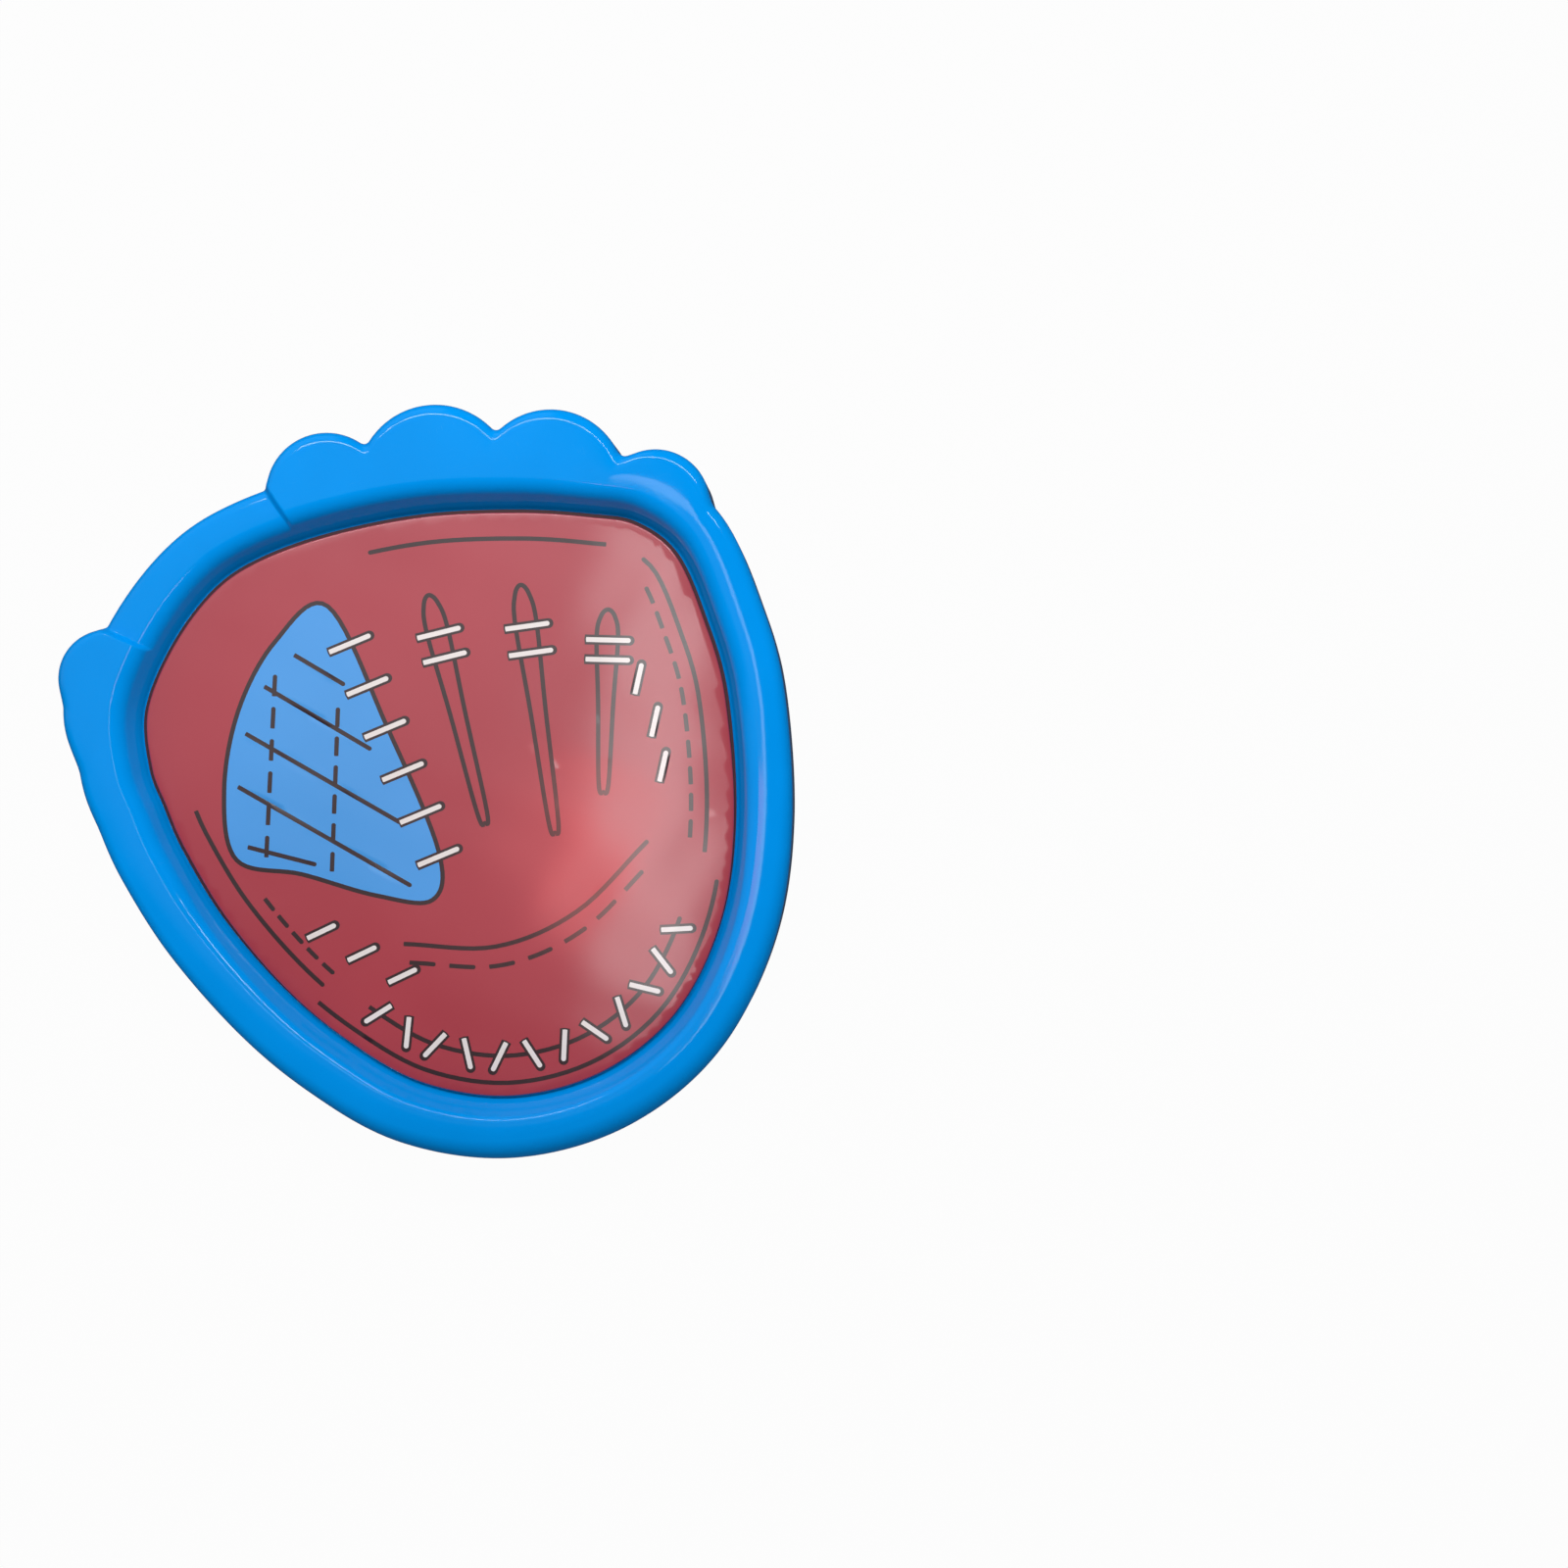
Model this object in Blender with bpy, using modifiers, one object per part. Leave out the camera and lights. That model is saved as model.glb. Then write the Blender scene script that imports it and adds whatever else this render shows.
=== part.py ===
# A hand paddle for a catching game: a shallow moulded dish in the shape of a ball mitt,
# with a printed sheet on its floor and a webbing hand strap behind it.
# The paddle lies on its back. +Z is the catching side, +Y the finger tips, -X the thumb,
# and the foot of the skirt stands on z = 0. Lengths are in metres and angles in degrees.

from math import ceil, cos, pi, radians, sin, tan

import bmesh
import bpy
import numpy as np
from mathutils import Vector
from mathutils.geometry import delaunay_2d_cdt

# Dish: floor sizes are taken at the foot of the sloped wall
DISH_WIDTH = 0.1564
DISH_LENGTH = 0.1623
DISH_DEPTH = 0.0095
WALL_LEAN_ENDS = 23.0
WALL_LEAN_SIDES = 17.0
CREST_RADIUS = 0.0050

# Rim, skirt and wall thickness of the moulding
SHELL_HEIGHT = 0.0240
WALL = 0.0020
RIM_SIDE = 0.0152
RIM_HEEL_EXTRA = 0.0012
HEEL_SIDE_ANGLE = 245.0
RIM_THUMB_EXTRA = 0.0014
THUMB_SIDE_ANGLE = 157.0
EDGE_RADIUS = 0.0035
SKIRT_FLARE = 0.0007
FLANGE_CROWN = 0.0004

# Finger tips and thumb: how far the centre of each tip's arc stands outside the floor's
# edge, the radius of the arc, and its place round the dish in degrees
LITTLE_TIP_OUTSET = 0.0054
LITTLE_TIP_RADIUS = 0.0152
RING_TIP_OUTSET = 0.0057
RING_TIP_RADIUS = 0.0205
MIDDLE_TIP_OUTSET = 0.0064
MIDDLE_TIP_RADIUS = 0.0215
INDEX_TIP_OUTSET = 0.0087
INDEX_TIP_RADIUS = 0.0168
THUMB_TIP_OUTSET = 0.0094
THUMB_TIP_RADIUS = 0.0137
NOTCH_BLEND = 0.0020
TIPS = {
    "little": (39.3, LITTLE_TIP_OUTSET, LITTLE_TIP_RADIUS),
    "ring": (56.0, RING_TIP_OUTSET, RING_TIP_RADIUS),
    "middle": (76.9, MIDDLE_TIP_OUTSET, MIDDLE_TIP_RADIUS),
    "index": (96.7, INDEX_TIP_OUTSET, INDEX_TIP_RADIUS),
    "thumb": (142.7, THUMB_TIP_OUTSET, THUMB_TIP_RADIUS),
}

# The thumb's root, a flatter arc that leads from its tip down into the side.
THUMB_ROOT = (145.8, -0.0061, 0.0260)

# The rim is lower between index finger and thumb, with a short step at both ends
WEB_DROP = 0.0018
WEB_STEP = 0.0016
WEB_STEP_UNDER = 0.0060

# Gussets in the channel under the rim
GUSSET = 0.0016
GUSSET_FOOT = 0.0050
GUSSETS_ROUND_HEEL = 9

# Printed sheet
CLEARANCE = 0.0003
SHEET = 0.0014
SHEET_EDGE_GAP = 0.0006
SHEET_ROUND = 0.0004

# Hand strap and the bars that hold it
STRAP_WIDTH = 0.0300
STRAP = 0.0012
STRAP_SPAN = 0.1080
STRAP_SLACK = 0.0010
STRAP_CENTRE_Y = -0.0050
SEWN_END = 0.0180
TAIL_LENGTH = 0.0620
PATCH = 0.0008
PATCH_INSET = 0.0030
PATCH_MARGIN = 0.0015
PATCH_BAR_GAP = 0.0160
FOLD_RUN = 0.0110
BAR_RADIUS = 0.0020
BAR_DROP = 0.0080
BAR_SIDE_GAP = 0.0006
POST_THICK = 0.0030
POST_WIDTH = 0.0080
POST_BELOW_BAR = 0.0010

# Print: line, lace and stitch sizes
LINE_WIDTH = 0.0012
LACE_WIDTH = 0.0016
LACE_BORDER = 0.0008
RUNG_LENGTH = 0.0120
STITCH_LENGTH = 0.0085
STITCH_SLANT = 24.0
HEEL_STITCHES = 12
WEB_RUNGS = 6
DASH_SHARE = 0.6
PRINT_MARGIN = 0.0085
HEEL_MARGIN = 0.0115
EDGE_LINE_STEP = 5.0

# How finely curves are divided
STATION_RUN = 0.0062
STATION_TURN = 15.0
STATION_RISE = 0.0004
SPAN_STEPS = 24
OUTLINE_STEPS = 2880
SHEET_STEPS = 5

# Colours as red, green and blue out of 255
BLUE = (18, 143, 226)
RED = (158, 58, 70)
WEB_BLUE = (70, 152, 226)
MAROON = (58, 22, 32)
LACE_WHITE = (232, 226, 224)
WEBBING_BLACK = (30, 31, 34)
FASTENER_BLACK = (22, 22, 24)

FLOOR_TOP = SHELL_HEIGHT - DISH_DEPTH
FLOOR_UNDER = FLOOR_TOP - WALL

# Edge of the dish floor as shares of its half width and half length, anticlockwise
DISH_EDGE = (
    (0.987, 0.083), (0.996, 0.349), (0.968, 0.583), (0.865, 0.725), (0.720, 0.798),
    (0.488, 0.884), (0.176, 0.964), (-0.146, 0.999), (-0.415, 0.990), (-0.606, 0.935),
    (-0.801, 0.799), (-0.954, 0.620), (-1.002, 0.430), (-0.995, 0.293), (-0.977, 0.132),
    (-0.912, -0.123), (-0.787, -0.403), (-0.633, -0.632), (-0.427, -0.843), (-0.142, -0.976),
    (0.181, -0.989), (0.483, -0.875), (0.728, -0.631), (0.887, -0.311),
)


def spline(points, steps, closed):
    """Points of a smooth curve that passes through every given point."""
    points = np.array(points, dtype=float)
    if closed:
        padded = np.vstack([points[-1:], points, points[:2]])
    else:
        padded = np.vstack([2 * points[0] - points[1], points, 2 * points[-1] - points[-2]])
    share = (np.arange(steps) / steps)[:, None]
    curve = []
    for a, b, c, d in zip(padded, padded[1:], padded[2:], padded[3:]):
        square = 2 * a - 5 * b + 4 * c - d
        cube = -a + 3 * b - 3 * c + d
        curve.append(0.5 * (2 * b + (c - a) * share + square * share**2 + cube * share**3))
    if not closed:
        curve.append(points[-1:])
    return np.vstack(curve)


def side_normals(points, closed):
    """Unit normals on the right of the way along a curve: outwards on an anticlockwise loop."""
    if closed:
        along = np.roll(points, -1, axis=0) - np.roll(points, 1, axis=0)
    else:
        along = np.gradient(points, axis=0)
    normal = np.stack([along[:, 1], -along[:, 0]], axis=1)
    return normal / np.linalg.norm(normal, axis=1)[:, None]


def angle_of(points):
    return np.arctan2(points[:, 1], points[:, 0]) % (2 * pi)


def read_round(angle, known_angle, values):
    """Values at the given angles, read from values that are known all the way round."""
    order = np.argsort(known_angle)
    columns = [np.interp(angle, known_angle[order], column[order], period=2 * pi) for column in values.T]
    return np.array(columns).T


def soft_step(share):
    share = np.clip(share, 0.0, 1.0)
    return share * share * (3.0 - 2.0 * share)


def soft_max(a, b, blend):
    """The larger of two radii, with a fillet where they cross."""
    near = np.maximum(blend - np.abs(a - b), 0.0) / blend
    return np.maximum(a, b) + near * near * blend / 4


def wall_lean(angle):
    """Lean of the dish's wall, which is steeper at the sides than at the fingers and the heel."""
    return np.radians(WALL_LEAN_SIDES + (WALL_LEAN_ENDS - WALL_LEAN_SIDES) * np.sin(angle) ** 2)


def arc_reach(angle, centre, radius):
    """Distance from the dish's centre to the far side of a circle, or nothing where it misses."""
    ahead = centre[0] * np.cos(angle) + centre[1] * np.sin(angle)
    aside = centre[0] * np.sin(angle) - centre[1] * np.cos(angle)
    room = radius**2 - aside**2
    return np.where((room > 0) & (ahead > 0), ahead + np.sqrt(np.maximum(room, 0)), 0.0)


class Mitt:
    """Outlines of the mitt seen from the front, with the centre of the dish floor at the middle."""

    def __init__(self):
        half = np.array([DISH_WIDTH / 2, DISH_LENGTH / 2])
        self.floor = spline(np.array(DISH_EDGE) * half, SPAN_STEPS, closed=True)
        self.floor_normal = side_normals(self.floor, closed=True)
        self.floor_angle = angle_of(self.floor)
        self.angle = np.arange(OUTLINE_STEPS) * 2 * pi / OUTLINE_STEPS

        heel_side = np.clip(np.cos(self.floor_angle - radians(HEEL_SIDE_ANGLE)), 0, 1) ** 3
        thumb_side = np.clip(np.cos(self.floor_angle - radians(THUMB_SIDE_ANGLE)), 0, 1) ** 6
        rim = RIM_SIDE + RIM_HEEL_EXTRA * heel_side + RIM_THUMB_EXTRA * thumb_side
        body = self.floor + self.floor_normal * rim[:, None]
        reach = read_round(self.angle, angle_of(body), np.linalg.norm(body, axis=1)[:, None])[:, 0]

        tips = np.zeros_like(reach)
        for place, outset, radius in TIPS.values():
            tips = np.maximum(tips, arc_reach(self.angle, self.beside_floor(place, outset), radius))
        between = (self.angle > radians(TIPS["index"][0])) & (self.angle < radians(TIPS["thumb"][0]))
        web = between & (reach > tips)
        self.web_start = self.angle[web].min()
        self.web_end = self.angle[web].max()

        for place, outset, radius in (*TIPS.values(), THUMB_ROOT):
            tip = arc_reach(self.angle, self.beside_floor(place, outset), radius)
            reach = soft_max(reach, tip, NOTCH_BLEND)
        self.reach = reach
        self.outer = np.stack([reach * np.cos(self.angle), reach * np.sin(self.angle)], axis=1)
        self.outer_normal = side_normals(self.outer, closed=True)

    def floor_at(self, place):
        """The floor's edge and its outward normal, at a place round the dish in degrees."""
        angle = np.array([radians(place)])
        edge = read_round(angle, self.floor_angle, self.floor)[0]
        normal = read_round(angle, self.floor_angle, self.floor_normal)[0]
        return edge, normal / np.linalg.norm(normal)

    def beside_floor(self, place, outset):
        edge, normal = self.floor_at(place)
        return edge + normal * outset

    def web_drop(self, angle, reach, step):
        into = soft_step(0.5 + (angle - self.web_start) * reach / step)
        out = soft_step(0.5 + (self.web_end - angle) * reach / step)
        return WEB_DROP * into * out

    def stations(self):
        """Angles round the mitt, closer together where the outline turns or steps."""
        run = np.linalg.norm(np.roll(self.outer, -1, axis=0) - self.outer, axis=1)
        heading = np.arctan2(self.outer_normal[:, 1], self.outer_normal[:, 0])
        turn = np.abs(np.angle(np.exp(1j * (np.roll(heading, -1) - heading))))
        height = self.web_drop(self.angle, self.reach, WEB_STEP)
        rise = np.abs(np.roll(height, -1) - height)
        cost = run / STATION_RUN + turn / radians(STATION_TURN) + rise / STATION_RISE
        total = np.concatenate([[0.0], np.cumsum(cost)])
        count = ceil(total[-1])
        return np.interp(np.arange(count) * total[-1] / count, total, np.append(self.angle, 2 * pi))

    def section(self, angle):
        """Where the profile of the moulding stands at each of the given angles."""
        reach = read_round(angle, self.angle, self.reach[:, None])[:, 0]
        return {
            "outer": read_round(angle, self.angle, self.outer),
            "outer_normal": read_round(angle, self.angle, self.outer_normal),
            "floor": read_round(angle, self.floor_angle, self.floor),
            "floor_normal": read_round(angle, self.floor_angle, self.floor_normal),
            "top": SHELL_HEIGHT - self.web_drop(angle, reach, WEB_STEP),
            "top_under": SHELL_HEIGHT - self.web_drop(angle, reach, WEB_STEP_UNDER),
            "lean": wall_lean(angle),
        }

    def middle_of_box(self):
        return (self.outer.min(axis=0) + self.outer.max(axis=0)) / 2


def ring(base, normal, outset, height):
    """One closed row of points at an outset from an outline and at a height."""
    outset = np.broadcast_to(outset, len(base))[:, None]
    return np.column_stack([base + normal * outset, np.broadcast_to(height, len(base))])


def top_rings(part):
    """Rows of the moulding's upper side, from the foot of the skirt in to the dish floor."""
    def from_edge(inset, height):
        return ring(part["outer"], part["outer_normal"], -inset, height)

    def from_floor(outset, height):
        return ring(part["floor"], part["floor_normal"], outset, height)

    top, lean = part["top"], part["lean"]
    rows = [from_edge(0.0, 0.0)]
    for turn in np.radians((0, 30, 60, 90)):
        inset = SKIRT_FLARE + EDGE_RADIUS * (1 - cos(turn))
        rows.append(from_edge(inset, top - EDGE_RADIUS * (1 - sin(turn))))
    crest = (top - CREST_RADIUS - FLOOR_TOP) * np.tan(lean) + CREST_RADIUS / np.cos(lean)
    crest_row = from_floor(crest, top)
    middle = (rows[-1] + crest_row) / 2
    middle[:, 2] += FLANGE_CROWN
    rows += [middle, crest_row]
    for share in (0.25, 0.5, 0.75, 1.0):
        turn = share * (pi / 2 - lean)
        inward = crest - CREST_RADIUS * np.sin(turn)
        rows.append(from_floor(inward, top - CREST_RADIUS * (1 - np.cos(turn))))
    rows.append(from_floor(0.0, FLOOR_TOP))
    return rows


def under_rings(part):
    """Rows of the moulding's hollow back, from the floor out to the foot of the skirt."""
    top, slope = part["top_under"], np.tan(part["lean"])
    inner_radius = max(EDGE_RADIUS - WALL, CLEARANCE)
    wall_run = WALL / np.cos(part["lean"])
    rows = [ring(part["floor"], part["floor_normal"], wall_run - WALL * slope, FLOOR_UNDER)]
    under_crest = wall_run + (top - WALL - FLOOR_TOP) * slope
    rows.append(ring(part["floor"], part["floor_normal"], under_crest, top - WALL))
    for turn in np.radians((90, 45, 0)):
        inset = SKIRT_FLARE + WALL + inner_radius * (1 - cos(turn))
        height = top - WALL - inner_radius * (1 - sin(turn))
        rows.append(ring(part["outer"], part["outer_normal"], -inset, height))
    rows.append(ring(part["outer"], part["outer_normal"], -WALL, 0.0))
    return rows


def lofted(name, rows):
    """A closed body through rows of points, with a flat face on its first and its last row."""
    mesh = bmesh.new()
    loops = [[mesh.verts.new(point) for point in row] for row in rows]
    for lower, upper in zip(loops, loops[1:]):
        for i, vertex in enumerate(lower):
            after = (i + 1) % len(lower)
            mesh.faces.new((vertex, lower[after], upper[after], upper[i]))
    mesh.faces.new(loops[0])
    mesh.faces.new(loops[-1])
    bmesh.ops.recalc_face_normals(mesh, faces=mesh.faces)
    return object_from(mesh, name)


def object_from(mesh, name):
    data = bpy.data.meshes.new(name)
    mesh.to_mesh(data)
    mesh.free()
    return bpy.data.objects.new(name, data)


def shade_round(piece, angle):
    piece.data.shade_smooth()
    piece.data.set_sharp_from_angle(angle=radians(angle))


def material(name, colour, roughness):
    made = bpy.data.materials.new(name)
    made.use_nodes = True
    linear = [(c / 255 / 12.92) if c < 10.3 else ((c / 255 + 0.055) / 1.055) ** 2.4 for c in colour]
    shader = made.node_tree.nodes["Principled BSDF"]
    shader.inputs["Base Color"].default_value = (*linear, 1.0)
    shader.inputs["Roughness"].default_value = roughness
    shader.inputs["Metallic"].default_value = 0.0
    made.diffuse_color = (*linear, 1.0)
    return made


def gussets(mitt):
    """Thin plates that stiffen the channel between the skirt and the sloped wall."""
    first = TIPS["thumb"][0]
    last = TIPS["little"][0] + 360
    spacing = (last - first) / (GUSSETS_ROUND_HEEL + 1)
    places = [place for place, _, _ in TIPS.values()]
    places.append(np.degrees((mitt.web_start + mitt.web_end) / 2))
    places += [(first + spacing * (i + 1)) % 360 for i in range(GUSSETS_ROUND_HEEL)]

    mesh = bmesh.new()
    for place in places:
        root, outward = mitt.floor_at(place)
        aside = np.array([-outward[1], outward[0]])
        offset = mitt.outer - root
        ahead = offset @ outward > 0
        nearest = np.argmin(np.where(ahead, np.abs(offset @ aside), np.inf))
        reach = offset[nearest] @ outward
        top = SHELL_HEIGHT - mitt.web_drop(mitt.angle[nearest], mitt.reach[nearest], WEB_STEP)
        lean = wall_lean(radians(place))
        mid_top = top - WALL / 2
        mid_wall = WALL / 2 / cos(lean)
        mid_skirt = reach - WALL / 2
        profile = (
            (mid_wall, FLOOR_TOP - WALL / 2),
            (mid_wall + (mid_top - FLOOR_TOP) * tan(lean), mid_top),
            (reach - SKIRT_FLARE - EDGE_RADIUS, mid_top),
            (mid_skirt - SKIRT_FLARE, top - EDGE_RADIUS),
            (mid_skirt - SKIRT_FLARE * GUSSET_FOOT / SHELL_HEIGHT, GUSSET_FOOT),
        )
        sides = []
        for side in (-GUSSET / 2, GUSSET / 2):
            flat = [root + outward * distance + aside * side for distance, _ in profile]
            sides.append([mesh.verts.new((*point, height)) for point, (_, height) in zip(flat, profile)])
        mesh.faces.new(sides[0])
        mesh.faces.new(reversed(sides[1]))
        for i, corner in enumerate(sides[0]):
            after = (i + 1) % len(profile)
            mesh.faces.new((corner, sides[1][i], sides[1][after], sides[0][after]))
    bmesh.ops.recalc_face_normals(mesh, faces=mesh.faces)
    return object_from(mesh, "gussets")


def bar_height():
    return FLOOR_UNDER - BAR_DROP


def strap_posts():
    """Four posts under the floor, in pairs that hold the two strap bars."""
    foot = bar_height() - BAR_RADIUS - POST_BELOW_BAR
    head = FLOOR_UNDER + WALL / 2
    mesh = bmesh.new()
    for side in (-1, 1):
        for end in (-1, 1):
            y = STRAP_CENTRE_Y + end * (STRAP_WIDTH / 2 + BAR_SIDE_GAP + POST_THICK / 2)
            made = bmesh.ops.create_cube(mesh, size=1.0)["verts"]
            bmesh.ops.scale(mesh, vec=(POST_WIDTH, POST_THICK, head - foot), verts=made)
            place = Vector((side * STRAP_SPAN / 2, y, (head + foot) / 2))
            bmesh.ops.translate(mesh, vec=place, verts=made)
    upright = [edge for edge in mesh.edges if abs(edge.verts[0].co.z - edge.verts[1].co.z) > WALL]
    bmesh.ops.bevel(mesh, geom=upright, offset=POST_THICK / 4, segments=2, affect="EDGES")
    return object_from(mesh, "strap_posts")


def strap_bars():
    """Two round bars across the hollow, one through each pair of posts."""
    length = STRAP_WIDTH + 2 * BAR_SIDE_GAP + POST_THICK
    mesh = bmesh.new()
    for side in (-1, 1):
        made = bmesh.ops.create_cone(mesh, cap_ends=True, segments=20, radius1=BAR_RADIUS,
                                     radius2=BAR_RADIUS, depth=length)["verts"]
        turn = Vector((0, 0, 1)).rotation_difference(Vector((0, 1, 0))).to_matrix()
        bmesh.ops.rotate(mesh, matrix=turn, verts=made)
        place = Vector((side * STRAP_SPAN / 2, STRAP_CENTRE_Y, bar_height()))
        bmesh.ops.translate(mesh, vec=place, verts=made)
    return object_from(mesh, "strap_bars")


def shell(mitt, cutters):
    """The one-piece moulding: dish, rim, skirt, gussets, strap posts and strap bars."""
    part = mitt.section(mitt.stations())
    body = lofted("shell", top_rings(part)[::-1] + under_rings(part)[::-1])
    shade_round(body, 32)
    body.data.materials.append(material("blue_plastic", BLUE, 0.22))
    for joined in (gussets(mitt), strap_posts(), strap_bars()):
        joined.hide_render = True
        joined.display_type = "WIRE"
        cutters.objects.link(joined)
        union = body.modifiers.new("join_" + joined.name, "BOOLEAN")
        union.operation = "UNION"
        union.solver = "EXACT"
        union.object = joined
    return body


def wrap_radius():
    return BAR_RADIUS + CLEARANCE + STRAP / 2


def strap_height(x):
    """Height of the middle of the strap's main run, which hangs a little between its bars."""
    share = np.asarray(x) / (STRAP_SPAN / 2)
    return bar_height() + wrap_radius() - STRAP_SLACK * (1 - share**2)


def tail_drop():
    """How far the folded tail lies below the main run, with both patches between them."""
    return STRAP + 2 * PATCH + 3 * CLEARANCE


def folded_height(x, bar_side, drop):
    """Height of a folded end: it leaves the underside of its bar and comes up to the main run."""
    from_bar = STRAP_SPAN / 2 - bar_side * np.asarray(x)
    blend = soft_step(from_bar / FOLD_RUN)
    return (1 - blend) * (bar_height() - wrap_radius()) + blend * (strap_height(x) - drop)


def strap_path():
    """Side view of the strap: sewn end, left bar, main run, right bar and folded tail."""
    half = STRAP_SPAN / 2
    sewn_x = np.linspace(-half + SEWN_END, -half, 9)[:-1]
    main_x = np.linspace(-half, half, 13)[1:-1]
    tail_x = np.linspace(half, half - TAIL_LENGTH, 15)[1:]
    turns = np.radians(np.linspace(-90, 90, 9))
    aside = half + wrap_radius() * np.cos(turns)
    rise = wrap_radius() * np.sin(turns)
    left = np.column_stack([-aside, bar_height() + rise])
    right = np.column_stack([aside, bar_height() - rise])
    sewn = np.column_stack([sewn_x, folded_height(sewn_x, -1, STRAP + CLEARANCE)])
    main = np.column_stack([main_x, strap_height(main_x)])
    tail = np.column_stack([tail_x, folded_height(tail_x, 1, tail_drop())])
    return np.vstack([sewn, left, main, right, tail])


def ribbon(name, path, width, thickness, surface):
    """A flat band of even thickness along a side view of its way."""
    mesh = bmesh.new()
    rows = []
    for y in (STRAP_CENTRE_Y - width / 2, STRAP_CENTRE_Y + width / 2):
        rows.append([mesh.verts.new((x, y, z)) for x, z in path])
    for a, b, c, d in zip(rows[0], rows[0][1:], rows[1][1:], rows[1]):
        mesh.faces.new((a, b, c, d))
    band = object_from(mesh, name)
    shade_round(band, 40)
    band.data.materials.append(surface)
    solid = band.modifiers.new("thickness", "SOLIDIFY")
    solid.thickness = thickness
    solid.offset = 0.0
    solid.use_even_offset = True
    return band


def strap_pieces():
    webbing = material("webbing", WEBBING_BLACK, 0.85)
    fastener = material("hook_and_loop", FASTENER_BLACK, 0.95)
    strap = ribbon("hand_strap", strap_path(), STRAP_WIDTH, STRAP, webbing)

    half = STRAP_SPAN / 2
    patch_x = np.linspace(half - TAIL_LENGTH + PATCH_INSET, half - PATCH_BAR_GAP, 9)
    patch_width = STRAP_WIDTH - 2 * PATCH_MARGIN
    loop_drop = STRAP / 2 + CLEARANCE + PATCH / 2
    hook_drop = loop_drop + PATCH + CLEARANCE
    loops = np.column_stack([patch_x, strap_height(patch_x) - loop_drop])
    hooks = np.column_stack([patch_x, strap_height(patch_x) - hook_drop])
    return [
        strap,
        ribbon("loop_patch", loops, patch_width, PATCH, fastener),
        ribbon("hook_patch", hooks, patch_width, PATCH, fastener),
    ]


def stroke(points, width):
    """Outline of a drawn line with pointed ends."""
    points = np.array(points, dtype=float)
    normal = side_normals(points, closed=False)
    along = np.stack([-normal[:, 1], normal[:, 0]], axis=1)
    right = points + normal * width / 2
    left = points - normal * width / 2
    tail = points[0] - along[0] * width / 3
    head = points[-1] + along[-1] * width / 3
    return np.vstack([tail, right, head, left[::-1]])


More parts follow.
